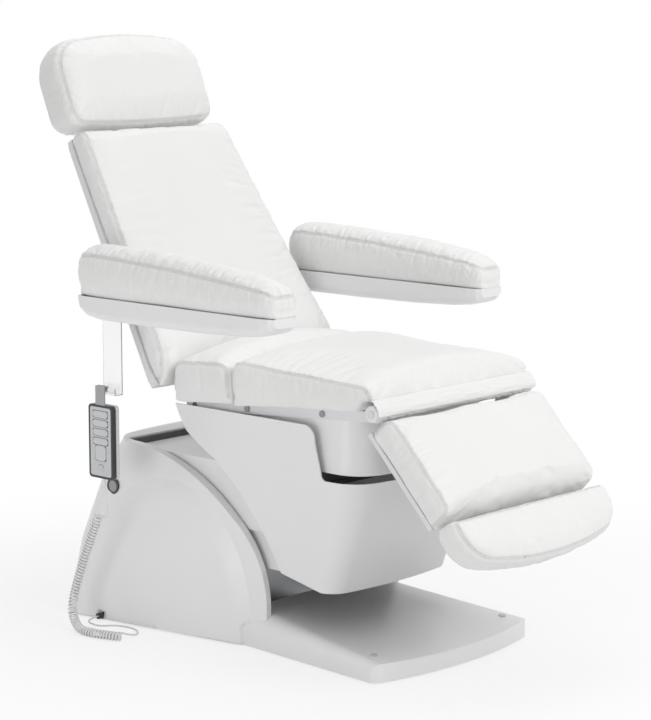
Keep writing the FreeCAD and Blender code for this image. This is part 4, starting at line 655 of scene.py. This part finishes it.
def hood_side(places, side):
    """How far out the hood's side is at each (y, z), found by a ray from outside."""
    found = []
    for y, z in places:
        hit = hood_tree.ray_cast(Vector((side, y, z)), Vector((-side, 0, 0)))[0]
        found.append(side * hit[0] if hit is not None else HOOD_CLEAR)
    return np.maximum(np.array(found), HOOD_LEAST)


def hood_skin(name, side):
    """P(u, v): from a point low on the field out to its edge, then over the band; lifted by the
    field's rise, which falls evenly to below zero over the band."""
    smooth = resample(corner_cut(np.column_stack([FIELD_EDGE, BAND_WIDTH])), EDGE_STEPS)[0]
    edge, wide = smooth[:, :2], smooth[:, 2]
    along = unit(np.gradient(edge, axis=0))
    outward = np.stack([along[:, 1], -along[:, 0]], axis=1)
    outward *= np.sign((outward * (edge - FIELD_MIDDLE)).sum(axis=1))[:, None]
    outward[[0, -1], 1] = 0
    inside = np.linspace(0, 1, FIELD_ROWS)[:, None, None]
    field = FIELD_FOOT + (edge - FIELD_FOOT)[None] * inside
    over = np.linspace(0, 1, BAND_ROWS + 1)[1:, None, None]
    band = edge[None] + outward[None] * wide[None, :, None] * over
    flat = np.concatenate([field, band])
    rows = np.arange(FIELD_ROWS + BAND_ROWS)
    lift = np.concatenate([np.ones(FIELD_ROWS), 1 - over.ravel() * BAND_FALL]) * FIELD_RISE
    crease = np.exp(-((rows - FIELD_ROWS + 0.5) / CREASE_ROWS) ** 2) * CREASE_DEPTH
    depth = hood_side(flat.reshape(-1, 2), side).reshape(flat.shape[:2])
    depth = depth + lift[:, None] - crease[:, None]
    points = np.concatenate([side * depth[..., None], flat], axis=-1)
    skin = grid_mesh(name, points, flip=side > 0)
    work = bmesh.new()
    work.from_mesh(skin.data)
    bmesh.ops.remove_doubles(work, verts=work.verts, dist=MERGE_DISTANCE)
    work.to_mesh(skin.data)
    work.free()
    return skin


for word, side in (("right", -1), ("left", 1)):
    skin = hood_skin(f"hood_side_{word}", side)
    add_wall(skin, SKIN_THICK, -1)
    dress(skin, moulding, "base")
    print(skin.name, len(skin.data.vertices), "points")

# %% [markdown]
# Each section of the chair stands at its own angle about its hinge. The lines of its seams are
# easiest to give in the section's own directions, so a small function turns them to where the
# section stands.


# %% Stations of the moving sections
SEAT_TILT, BACK_ANGLE, LEG_ANGLE = -4, 57.3, 46.5
FOOT_TURN, HEAD_TURN = 8.5, 10
LEG_HINGE = (0, -0.461404, 0.650329)


def station(angle, pivot):
    """Turns local points (across, back, up) by an angle about X and moves them to a pivot."""
    turn = math.radians(angle)
    matrix = np.array([[1, 0, 0], [0, math.cos(turn), -math.sin(turn)],
                       [0, math.sin(turn), math.cos(turn)]])
    pivot = np.array(pivot)
    return lambda points: points @ matrix.T + pivot


seat_at = station(SEAT_TILT, (0, 0.172, 0.591))
back_at = station(BACK_ANGLE, (0, 0.274157, 0.636986))
leg_at = station(LEG_ANGLE, LEG_HINGE)
foot_at = station(LEG_ANGLE + FOOT_TURN, (0, -0.606857, 0.38374))
head_at = station(BACK_ANGLE + HEAD_TURN, (0, 0.719129, 1.260873))
arm_at = station(0, (0, 0.36872, 0.847219))
print("the leg rest turns about", LEG_HINGE)

# %% [markdown]
# Every cushion is foam in a sewn cover: a crowned top panel joined to a side band by a seam. It
# could be sculpted, but here the cover finds its own form. The solid is copied and remeshed
# finely, since cloth needs small even faces, and smoothed. Its lower edge stays sharp and is
# pushed out a little, so that it closes on the board it sits on.


# %% Even mesh of a soft solid
SMOOTHING_STEPS, SMOOTHING_SHARE = 8, 0.5
SOLID_MERGE = 0.00005
SHRINK = 0.0015
SHARP_HEIGHT, SHARP_SHARE, RIM_REACH = 0.016, 0.12, 0.011


def evaluated_copy(piece):
    """The mesh that a piece's modifiers make, as a new mesh."""
    depsgraph = bpy.context.evaluated_depsgraph_get()
    return bpy.data.meshes.new_from_object(piece.evaluated_get(depsgraph))


def soft_start(name, node, voxel, down, rim):
    """The even copy of a soft solid, with its starting points, their normals and their height over
    its underside: smoothed points, mixed with the unsmoothed ones near the underside, and moved
    along the normals by rim * exp(-(height / reach)^2) - shrink."""
    work = bmesh.new()
    work.from_mesh(frame["nodes"][node].data)
    bmesh.ops.remove_doubles(work, verts=work.verts, dist=SOLID_MERGE)
    mesh = bpy.data.meshes.new(name)
    work.to_mesh(mesh)
    work.free()
    piece = linked(name, mesh)
    remesh = piece.modifiers.new("remesh", "REMESH")
    remesh.mode = "VOXEL"
    remesh.voxel_size = voxel
    sharp = evaluated_copy(piece)
    ease = piece.modifiers.new("ease", "SMOOTH")
    ease.factor = SMOOTHING_SHARE
    ease.iterations = SMOOTHING_STEPS
    fine = evaluated_copy(piece)
    piece.modifiers.clear()
    piece.data = fine
    fine.name = name
    rough = coordinates(sharp)
    height = (rough @ down).max() - rough @ down
    share = np.clip(height / SHARP_HEIGHT, SHARP_SHARE, 1)[:, None]
    places = rough * (1 - share) + coordinates(fine) * share
    bpy.data.meshes.remove(sharp)
    normals = np.empty(len(fine.vertices) * 3)
    fine.vertices.foreach_get("normal", normals)
    normals = normals.reshape(-1, 3)
    inwards = SHRINK - rim * np.exp(-(height / RIM_REACH) ** 2)
    return piece, places - inwards[:, None] * normals, normals, height


print("lower edges stay sharp up to", 1000 * SHARP_HEIGHT, "mm")

# %% [markdown]
# A seam holds the cover down, and the leather gathers into short puckers beside it. The seam lines
# are laid on the cover by its nearest points, and each point of the cover then knows how far the
# next seam is. Sums of sines with random phases give the puckers and a slow unevenness.


# %% Seam lines and waves
SEAM_POINT_GAP = 0.003
OPEN_GAP = 0.05


def on_surface(tree, points):
    """The nearest points of a surface to some points, and the surface's normals there."""
    hits = [tree.find_nearest(Vector(point)) for point in points]
    return np.array([hit[0][:] for hit in hits]), np.array([hit[1][:] for hit in hits])


def closed_line(loop):
    """A loop with its first point added at the end, unless its ends lie apart, and whether they
    do."""
    is_open = np.linalg.norm(loop[0] - loop[-1]) > OPEN_GAP
    return (loop if is_open else np.concatenate([loop, loop[:1]])), is_open


def laid_seams(tree, loops):
    """Each seam as evenly spaced points on the cover's surface."""
    laid = []
    for loop in loops:
        closed = closed_line(loop)[0]
        line = resample(closed, max(200, int(line_length(closed) / SEAM_POINT_GAP)))[0]
        laid.append(on_surface(tree, line)[0])
    return laid


def nearest(points, loop):
    """Distance of each point to the nearest point of a loop, and where on the loop that is."""
    best = np.full(len(points), 1e9)
    index = np.zeros(len(points), dtype=int)
    for start in range(0, len(loop), 60):
        part = np.linalg.norm(points[:, None] - loop[None, start:start + 60], axis=2)
        low = part.min(axis=1)
        where = low < best
        best[where] = low[where]
        index[where] = part.argmin(axis=1)[where] + start
    return best, index


def waves(values, seed, count=14):
    """Smooth random curve with values about -1 to 1: a sum of sines of random phase."""
    rng = np.random.default_rng(seed)
    total = np.zeros_like(values)
    for k in range(1, count + 1):
        total += rng.uniform(0.3, 1.0) * np.sin(2 * np.pi * values * k + rng.uniform(0, 6.28))
    return total / math.sqrt(count)


def loop_length(loops):
    """Length along the seams at each of their points, one seam after the other."""
    steps = [np.linalg.norm(np.diff(loop, axis=0, prepend=loop[:1]), axis=1) for loop in loops]
    return np.cumsum(np.concatenate(steps))


def slow_waves(places, seed, size, count=7):
    """Smooth waves in space with values about -1 to 1: sines along random directions."""
    rng = np.random.default_rng(seed)
    ways = unit(rng.normal(size=(count, 3)))
    lengths = size * rng.uniform(0.6, 1.6, count)
    phases = rng.uniform(0, 2 * np.pi, count)
    return np.sin(2 * np.pi * (places @ ways.T) / lengths + phases).sum(axis=1) / math.sqrt(count)


print("seam points every", 1000 * SEAM_POINT_GAP, "mm")

# %% [markdown]
# Between the seams the foam pushes the cover out. Blender's cloth with pressure does just that:
# the seams and the underside are pinned, the faces between them swell for twenty frames, and a cap
# keeps the swelling within the room that the joints leave.


# %% Swelling
HOLD_REACH = 0.008
CLOTH_FRAMES = 20
CLOTH = {"quality": 6, "mass": 0.25, "tension_stiffness": 18, "compression_stiffness": 12,
         "shear_stiffness": 8, "bending_stiffness": 0.6, "use_pressure": True,
         "uniform_pressure_force": 4.0, "shrink_min": -0.012, "vertex_group_mass": "held",
         "pin_stiffness": 1.0}


def swelling(piece, start, fixed, gap, cap):
    """How far each point moves as cloth under pressure, at most by the cap. Points are held the
    more, the closer the next seam is, and the fixed ones fully."""
    held = piece.vertex_groups.new(name="held")
    weight = np.clip(1.0 - gap / HOLD_REACH, 0, 1)
    weight[fixed] = 1.0
    for value in (0.25, 0.5, 0.75, 1.0):
        chosen = np.nonzero((weight > value - 0.25) & (weight <= value))[0]
        if len(chosen):
            held.add(chosen.tolist(), value, "REPLACE")
    piece.data.vertices.foreach_set("co", start.ravel())
    piece.data.update()
    cloth = piece.modifiers.new("cloth", "CLOTH")
    for setting, value in CLOTH.items():
        setattr(cloth.settings, setting, value)
    cloth.settings.effector_weights.gravity = 0
    cloth.collision_settings.use_collision = False
    cloth.point_cache.frame_start = 1
    cloth.point_cache.frame_end = CLOTH_FRAMES
    for step in range(1, CLOTH_FRAMES + 1):
        scene.frame_set(step)
    swollen = evaluated_copy(piece)
    moved = coordinates(swollen) - start
    bpy.data.meshes.remove(swollen)
    piece.modifiers.clear()
    piece.vertex_groups.clear()
    scene.frame_set(1)
    size = np.linalg.norm(moved, axis=1, keepdims=True)
    return moved * np.minimum(1.0, cap / np.maximum(size, 1e-9))


print("cloth runs for", CLOTH_FRAMES, "frames")

# %% [markdown]
# Along each seam runs a thin raised welt, and beside it a row of stitches. A stitch seen from
# close by is a short bar that dips into the leather at both ends, so one bar with few faces is
# repeated along the line, all of them worked out at once.


# %% Welts and stitches
STITCH_PITCH = 0.0065
STITCH_LENGTH = 0.0045
STITCH_RADIUS = 0.00045
STITCH_OFFSET = 0.0045
STITCH_LIFT, STITCH_DIP, STITCH_TAPER = 0.0003, 0.0012, 0.35
STITCH_ROWS, STITCH_SIDES = 4, 6
WELT_RADIUS, WELT_SUNK, WELT_SIDES = 0.0009, 0.0003, 7
ROW_POINTS = 2400


def stitch_row(name, line, normals, length):
    """Short stitches along a line: P(u, v) = place + along(u) + circle(v) * thickness(u), raised
    by lift - dip * (2 u)^4 for u from -1/2 to 1/2, so that each dips into the cover at its ends."""
    count = int(length / STITCH_PITCH)
    at_index = (np.arange(count) + 0.5) / count * (len(line) - 1)
    index = at_index.astype(int)
    ways = unit(np.gradient(line, axis=0))[index]
    ups = normals[index]
    sides = unit(np.cross(ways, ups))
    along = np.linspace(-0.5, 0.5, STITCH_ROWS)
    thick = STITCH_RADIUS * np.array([STITCH_TAPER, 1.0, 1.0, STITCH_TAPER])
    turn = circle(STITCH_SIDES)
    reach = ways[:, None] * (along[None, :, None] * STITCH_LENGTH)
    base = line[index][:, None, None] + reach[:, :, None]
    ring = (sides[:, None, None] * np.cos(turn)[None, None, :, None]
            + ups[:, None, None] * np.sin(turn)[None, None, :, None]) * thick[None, :, None, None]
    lift = STITCH_LIFT - STITCH_DIP * (2 * along) ** 4
    points = (base + ring + ups[:, None, None] * lift[None, :, None, None]).reshape(-1, 3)
    corners = STITCH_ROWS * STITCH_SIDES
    one = grid_faces(STITCH_ROWS, STITCH_SIDES, True)
    ends = [list(range(STITCH_SIDES))[::-1], list(range(corners - STITCH_SIDES, corners))]
    shift = corners * np.arange(count)
    faces = (one[None] + shift[:, None, None]).reshape(-1, 4).tolist()
    faces += [[corner + offset for corner in end] for offset in shift.tolist() for end in ends]
    return smooth_mesh(name, points, faces)


def seam_thread(name, mesh, loops, body):
    """Makes a raised welt along each seam and a row of stitches beside it: both lines are laid
    on the finished cover by taking the nearest point of its surface."""
    verts = coordinates(mesh)
    tree = surface_tree(verts, mesh)
    centre = verts.mean(axis=0)
    pieces = []
    for k, loop in enumerate(loops):
        closed, is_open = closed_line(loop)
        on, out = on_surface(tree, resample(closed, 2 * len(loop))[0])
        for _ in range(6):
            before, after = (on[:1], on[-1:]) if is_open else (on[-2:-1], on[1:2])
            wide = np.concatenate([before, on, after])
            on = 0.5 * on + 0.25 * (wide[:-2] + wide[2:])
        welt = tube_round(f"{name}_welt_{k}", on - WELT_SUNK * out, WELT_RADIUS, WELT_SIDES)
        along = unit(np.gradient(on, axis=0))
        beside = unit(np.cross(out, along))
        beside *= np.sign(((centre - on) * beside).sum(axis=1))[:, None]
        row_on, row_out = on_surface(tree, on + STITCH_OFFSET * beside)
        dense, length = resample(row_on, ROW_POINTS)
        normal_at = np.linspace(0, len(row_out) - 1, ROW_POINTS).astype(int)
        stitches = stitch_row(f"{name}_stitches_{k}", dense, row_out[normal_at], length)
        pieces += [(welt, leather), (stitches, thread)]
    for piece, chosen in pieces:
        dress(piece, chosen, body)


print("a stitch every", 1000 * STITCH_PITCH, "mm")

# %% [markdown]
# Now the steps come together in one function, which every cushion calls with its own seams. The
# last things it does are to press the seam in, raise the puckers beside it, keep the distance to
# the seam as an attribute for the leather's painted seam shade, and let one subdivision round the
# small faces.


# %% A whole cushion
UNDERSIDE, FACING_DOWN = 0.006, 0.75
SEAM_DEPTH, SEAM_WIDTH, SEAM_SHADE_WIDTH = 0.0026, 0.004, 0.0032
PUCKER_PITCH, PUCKER_WAVES, PUCKER_EDGE = 0.5, 40, 0.3
UNEVEN_HEIGHT, UNEVEN_SIZE, UNEVEN_CLEAR = 0.0012, 0.19, 0.03


def cushion(name, node, body, loops, cap, down=(0, 0, -1), voxel=0.006, pucker=0.0048,
            stitched=None, crease_reach=0.022, rim=0.004):
    """A padded cover made from a soft solid. After the swelling every point moves along its normal
    by -depth * exp(-(gap / width)^2) + pucker * crease * fade + slow waves, where gap is the
    distance to the next seam."""
    down = unit(np.array(down, dtype=float))
    piece, start, normals, height = soft_start(name, node, voxel, down, rim)
    fine = piece.data
    laid = laid_seams(surface_tree(start, fine), loops)
    gap, index = nearest(start, np.concatenate(laid))
    moves = 0.0
    fixed = (normals @ down > FACING_DOWN) | (height < UNDERSIDE)
    moved = swelling(piece, start, fixed, gap, cap)
    moves = float(np.linalg.norm(moved, axis=1).max())
    start = start + moved
    rise = waves(loop_length(laid)[index] / PUCKER_PITCH, len(name), count=PUCKER_WAVES)
    crease = 0.5 - np.exp(-(rise / PUCKER_EDGE) ** 2)
    fade = np.exp(-gap / crease_reach) - np.exp(-gap / SEAM_WIDTH)
    relief = -SEAM_DEPTH * np.exp(-(gap / SEAM_WIDTH) ** 2) + pucker * crease * fade
    uneven = slow_waves(start, len(node), UNEVEN_SIZE)
    relief += UNEVEN_HEIGHT * uneven * (1 - np.exp(-gap / UNEVEN_CLEAR))
    fine.vertices.foreach_set("co", (start + relief[:, None] * normals).ravel())
    fine.polygons.foreach_set("use_smooth", np.ones(len(fine.polygons), dtype=bool))
    # The seam attribute marks where painted shade darkens the leather along the stitched seams.
    attribute = fine.attributes.new("seam", "FLOAT", "POINT")
    sewn_gap = nearest(start, np.concatenate(laid[:stitched]))[0]
    attribute.data.foreach_set("value", np.exp(-(sewn_gap / SEAM_SHADE_WIDTH) ** 2))
    fine.update()
    again = piece.modifiers.new("finer", "SUBSURF")
    again.levels = again.render_levels = 1
    piece.data.materials.clear()
    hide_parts(node)
    dress(piece, leather, body)
    print(name, len(fine.vertices), "points, moved at most", round(1000 * moves, 1), "mm")
    seam_thread(name, evaluated_copy(piece), laid[:stitched], body)


# %% [markdown]
# The seat is two cushions. The rear one is narrow and fills the corner under the backrest, the
# front one is long and thins to its nose, where it clears the leg hinge. Their side panels are
# sewn in along the top edge, with round corners.


# %% Seat cushions
SEAM_CORNER = 0.028


def even(value):
    """The same value along the whole cushion."""
    return lambda share: np.full_like(share, value)


def side_seams(rear, front, half_at, top_at, low):
    """The seams of two side panels: each runs up at the rear, along the top edge through round
    corners, and down at the front. They come as two open lines, one for each side."""
    corner = SEAM_CORNER
    turn = np.linspace(0, 0.5 * np.pi, 24)
    top_rear, top_front = float(top_at(np.array(0.0))), float(top_at(np.array(1.0)))
    up = np.stack([np.full(20, rear), np.linspace(low, top_rear - corner, 20)], axis=1)
    over_rear = np.stack([rear + corner * (1 - np.cos(turn)),
                          top_rear - corner * (1 - np.sin(turn))], axis=1)
    along = np.linspace(rear + corner, front - corner, 160)
    top = np.stack([along, top_at((along - rear) / (front - rear))], axis=1)
    over_front = np.stack([front - corner * (1 - np.sin(turn)),
                           top_front - corner * (1 - np.cos(turn))], axis=1)
    fall = np.stack([np.full(20, front), np.linspace(top_front - corner, low, 20)], axis=1)
    flat = resample(np.concatenate([up, over_rear, top, over_front, fall]), 260)[0]
    half = half_at((flat[:, 0] - rear) / (front - rear))
    return [np.stack([side * half, -flat[:, 0], flat[:, 1]], axis=1) for side in (-1, 1)]


def front_top(share):
    """Height of the front seat cushion's top edge, which falls towards the nose."""
    return 0.126 - 0.050 * share


rear_seams = [seat_at(line) for line in side_seams(-0.026, 0.165, even(0.297), even(0.117), 0.030)]
cushion("rear_seat_padding", "rear_seat_cushion", "seat", rear_seams, 0.010)
front_seams = [seat_at(line) for line in side_seams(0.182, 0.632, even(0.297), front_top, 0.030)]
cushion("front_seat_padding", "front_seat_cushion", "seat", front_seams, 0.012)

# %% [markdown]
# The leg cushion and the backrest are sewn in the same way. The leg cushion swells least, because
# the foot cushion passes close by its end. The backrest widens downwards and is a little lower at
# its foot.


# %% Leg and back cushions
def back_half(share):
    """Half the width of the back's seams, from the top of the back to its foot."""
    return 0.262 + (0.331 - 0.262) * share - 0.008


def back_top(share):
    """Height of the back cushion's edge, which drops over its last part."""
    return 0.091 - 0.018 * np.clip((share - 0.93) / 0.07, 0, 1)


leg_seams = [leg_at(line) for line in side_seams(0.031, 0.302, even(0.287), even(0.033), -0.040)]
cushion("leg_padding", "leg_cushion", "leg", leg_seams, 0.007, (0, 0.725, -0.688), rim=0.0025)
back_seams = [back_at(line) for line in side_seams(-0.697, 0.005, back_half, back_top, 0.012)]
cushion("back_padding", "back_cushion", "back", back_seams, 0.012, (0, 0.84, -0.54), voxel=0.007)

# %% [markdown]
# The foot cushion is flat at one end and bowed at the other, with round corners between. One seam
# runs round its top edge, and a second line near the board only holds the cover.


# %% Foot cushion
def tangent_corner(end, way, half, corner, bow, count):
    """A corner that runs into a bowed end, as (across, along) rows, the bow's slope where they
    meet, and its radius."""
    slope = 2 * math.atan2(bow, half - corner)
    reach = half - corner + corner * math.sin(slope)
    centre = end - way * (reach * math.tan(0.5 * slope) + corner * math.cos(slope))
    turn = np.linspace(0, 0.5 * np.pi - slope, count)
    rows = np.stack([half - corner + corner * np.cos(turn),
                     centre + way * corner * np.sin(turn)], axis=1)
    return rows, slope, reach / math.sin(slope)


def outline_loop(start, end, half, corner, bow, height, count=160):
    """Loop of a pad's outline: straight sides, tangent corners and a bowed end."""
    corner_part, slope, radius = tangent_corner(end, 1, half, corner, bow, count)
    sweep = np.linspace(slope, -slope, 2 * count)
    bow_part = np.stack([radius * np.sin(sweep), end - radius + radius * np.cos(sweep)], axis=1)
    side = np.stack([np.full(count, half), np.linspace(start, corner_part[0, 1], count)], axis=1)
    rear = np.stack([np.linspace(-half, half, 2 * count), np.full(2 * count, start)], axis=1)
    mirror = np.array([-1, 1])
    flat = np.concatenate([rear, side, corner_part, bow_part, (corner_part * mirror)[::-1],
                           (side * mirror)[::-1]])
    return np.stack([flat[:, 0], -flat[:, 1], np.full(len(flat), height)], axis=1)


foot_loop = foot_at(outline_loop(0.015, 0.153, 0.288, 0.088, 0.020, 0.110))
foot_under = foot_at(outline_loop(0.017, 0.150, 0.285, 0.085, 0.020, 0.050))
cushion("foot_padding", "foot_cushion", "foot", [foot_loop, foot_under], 0.005, (0, 0.82, -0.57),
        pucker=0.003, stitched=1, rim=0.0015)

# %% [markdown]
# The head cushion has the same kind of seams, with round corners at both ends: small ones at the
# neck and large ones at the crown.


# %% Head cushion
HEAD_CORNERS, HEAD_BOWS = (0.043, 0.091), (0.005, 0.012)


def bowed_corner(end, way, half, corner, bow, count):
    """One side of a bowed end: a tangent corner and half of the bow."""
    corner_part, slope, radius = tangent_corner(end, way, half, corner, bow, count)
    sweep = np.linspace(slope, 0, count)
    bow_part = np.stack([radius * np.sin(sweep), end - way * radius * (1 - np.cos(sweep))], axis=1)
    return np.concatenate([corner_part, bow_part])


def round_loop(rear, front, half, corners, bows, height, count=150):
    """Loop with tangent corners and bowed edges at both ends, at one height."""
    fore = bowed_corner(front, 1, half, corners[1], bows[1], count)
    aft = bowed_corner(rear, -1, half, corners[0], bows[0], count)
    mirror = np.array([-1, 1])
    flat = np.concatenate([fore, (fore * mirror)[::-1], aft * mirror, aft[::-1]])
    flat = resample(np.concatenate([flat, flat[:1]]), 6 * count)[0][:-1]
    return np.stack([flat[:, 0], -flat[:, 1], np.full(len(flat), height)], axis=1)


def head_frame(points):
    """The head section runs backwards from its hinge, so its local points are turned round."""
    return head_at(points * np.array([-1, -1, 1]))


head_loop = head_frame(round_loop(-0.034, 0.222, 0.254, HEAD_CORNERS, HEAD_BOWS, 0.116))
head_under = head_frame(round_loop(-0.036, 0.224, 0.258, HEAD_CORNERS, HEAD_BOWS, 0.034))
cushion("head_padding", "head_cushion", "head", [head_loop, head_under], 0.008, (0, 0.92, -0.39),
        stitched=1)

# %% [markdown]
# The armrests are long soft pads in moulded trays. They are high and full behind and fall away to
# a narrow front end, and their covers pucker most, because one seam goes all the way round a long
# pad.


# %% Arm padding
ARM_OUT = 0.384
ARM_SHARE = np.array([0.0, 0.015, 0.05, 0.12, 0.4, 0.66, 0.86, 0.94, 0.98, 1.0])
ARM_HALF = np.array([0.8, 0.92, 0.98, 1.0, 1.0, 1.0, 1.0, 0.98, 0.9, 0.74]) * 0.054 - 0.003
ARM_TALL = np.array([0.86, 0.95, 1.0, 1.0, 0.93, 0.8, 0.68, 0.62, 0.56, 0.48]) * 0.1056 + 0.0204
SQUARENESS = 14


def arm_half(share):
    """Half the width of the seam line along the pad."""
    return np.interp(share, ARM_SHARE, ARM_HALF)


def arm_top(share):
    """Height of the seam line along the pad."""
    return np.interp(share, ARM_SHARE, ARM_TALL) - 0.001


def rounded_loop(rear, front, half_at, height_at, count=480):
    """Closed loop over a pad: cos and sin to the power 2 / squareness give a rectangle with round
    corners, whose half width and height follow the pad along its length."""
    turn = circle(count)
    power = 2 / SQUARENESS
    across = np.sign(np.cos(turn)) * np.abs(np.cos(turn)) ** power
    along = np.sign(np.sin(turn)) * np.abs(np.sin(turn)) ** power
    middle, reach = 0.5 * (rear + front), 0.5 * (front - rear)
    forward = middle + along * reach
    share = (forward - rear) / (front - rear)
    return np.stack([across * half_at(share), -forward, height_at(share)], axis=1)


for word, side, body in (("right", -1, "arm_right"), ("left", 1, "arm_left")):
    loop = rounded_loop(-0.037, 0.637, arm_half, arm_top)
    loop = arm_at(loop + np.array([side * ARM_OUT, 0, 0]))
    cushion(f"arm_padding_{word}", f"arm_pad_{word}", body, [loop], 0.008, voxel=0.0045,
            pucker=0.006, crease_reach=0.03)

# %% [markdown]
# The roll over the leg hinge is a sleeve of the same leather. It is drawn as a tube along the
# hinge, its radius varied by folds that run round it and by a slow swelling, and its ends are
# turned in. It turns with the leg rest, apart from two collars over the ears of the seat frame,
# which stay still.


# %% Leg hinge roll
ROLL_RADIUS, ROLL_BORE = 0.0203, 0.0112
LONG_FOLD, CROSS_FOLD = 0.0006, 0.0004
END_REACH, END_DROP = 0.005, 0.0035
ROW_PITCH = 0.0016
ROLL_END, EAR_INSIDE, EAR_OUTSIDE, COLLAR_GAP = 0.297, 0.2215, 0.2550, 0.0005
FOLD_WAVE = 0.6


def sleeve(name, start, end, seed, turned_in=True, columns=96):
    """A wrinkled tube about the leg hinge from start to end across: radius = mean + folds(x) +
    slow swelling(x, angle), closed at both ends by rows that turn inwards."""
    rows = max(8, int((end - start) / ROW_PITCH))
    share = np.linspace(0, 1, rows)
    across = start + (end - start) * share
    angle = circle(columns)[None]
    wander = waves(across / FOLD_WAVE + 0.5, seed, count=7)[:, None]
    long_folds = np.cos(5 * angle + 4.2 * wander) + 0.7 * np.cos(8 * angle - 6 * wander + 1)
    cross_folds = waves(across / FOLD_WAVE + 0.5, 21, count=26)[:, None]
    cross_folds = cross_folds * (0.5 + 0.5 * np.cos(angle + 1))
    round_end = np.minimum(1, np.minimum(across - start, end - across) / END_REACH)
    drop = END_DROP * (1 - np.sqrt(1 - (1 - round_end) ** 2)) if turned_in else 0 * round_end
    radius = ROLL_RADIUS + LONG_FOLD * long_folds + CROSS_FOLD * cross_folds - drop[:, None]
    ring = np.stack([np.broadcast_to(across[:, None], radius.shape), radius * np.cos(angle),
                     radius * np.sin(angle)], axis=-1)
    inner = ring[:, :, 1:] * (ROLL_BORE / radius[..., None])
    caps = [np.concatenate([ring[k:k + 1, :, :1], inner[k:k + 1]], axis=-1) for k in (0, rows - 1)]
    points = np.concatenate([caps[0], ring, caps[1]])
    return grid_mesh(name, leg_at(points), closed=True, capped=True, flip=True)


def joined(name, pieces):
    """One mesh from several, with their corners renumbered."""
    places, faces, offset = [], [], 0
    for piece in pieces:
        places.append(coordinates(piece.data))
        faces += [[corner + offset for corner in face.vertices] for face in piece.data.polygons]
        offset += len(places[-1])
        bpy.data.objects.remove(piece)
    return smooth_mesh(name, np.concatenate(places), faces)


roll_padding = joined("leg_roll_padding", [
    sleeve("roll_middle", -EAR_INSIDE, EAR_INSIDE, 3, turned_in=False),
    sleeve("roll_left", EAR_OUTSIDE, ROLL_END, 5),
    sleeve("roll_right", -ROLL_END, -EAR_OUTSIDE, 8)])
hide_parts("leg_roll")
collar_start, collar_end = EAR_INSIDE + COLLAR_GAP, EAR_OUTSIDE - COLLAR_GAP
collars = [sleeve("roll_collar_left", collar_start, collar_end, 4, turned_in=False),
           sleeve("roll_collar_right", -collar_end, -collar_start, 6, turned_in=False)]
for piece, body in [(roll_padding, "leg")] + [(collar, "seat") for collar in collars]:
    dress(piece, leather, body)
print("roll:", len(roll_padding.data.vertices), "points")

# %% [markdown]
# The leather under the seat's nose runs on as a loose flap that lies over the roll and hides the
# hinge. It is a curved sheet about the hinge line, a little larger than the roll, that rises to
# the underside of the cushion; it stays with the seat while the roll turns inside it.


# %% Nose flap
FLAP_RADIUS, FLAP_RISE, FLAP_FOLD = 0.0236, 0.0075, 0.00045
FLAP_TOP, FLAP_FOOT, RISE_FROM, RISE_OVER = 97, -14, 48, 45
FLAP_HALF, LEATHER_THICK = 0.2965, 0.0014


def nose_flap(name, half, seed, rows=260, columns=40):
    """r(x, angle) = flap radius + rise towards the cushion + folds, for angles in degrees from
    behind the top of the hinge line to just below its front."""
    across = np.linspace(-half, half, rows)
    degrees = np.linspace(FLAP_TOP, FLAP_FOOT, columns)
    angle = np.radians(degrees)[None]
    rise = np.clip((degrees - RISE_FROM) / RISE_OVER, 0, 1)[None]
    wander = waves(across / 1.3 + 0.5, seed, count=9)[:, None]
    folds = np.sin(7 * angle + 3.5 * wander) + 0.8 * np.sin(12 * angle - 5 * wander + 2)
    free = np.clip((degrees - FLAP_FOOT) / 25, 0.2, 1)[None] * (1 - rise)
    radius = FLAP_RADIUS + FLAP_RISE * (rise * rise * (3 - 2 * rise)) + FLAP_FOLD * folds * free
    points = np.stack([np.broadcast_to(across[:, None], radius.shape), -radius * np.cos(angle),
                       radius * np.sin(angle)], axis=-1)
    return grid_mesh(name, points + np.array(LEG_HINGE))


flap = nose_flap("nose_flap", FLAP_HALF, 12)
add_wall(flap, LEATHER_THICK, 0)
dress(flap, leather, "seat")
print("flap:", len(flap.data.vertices), "points")
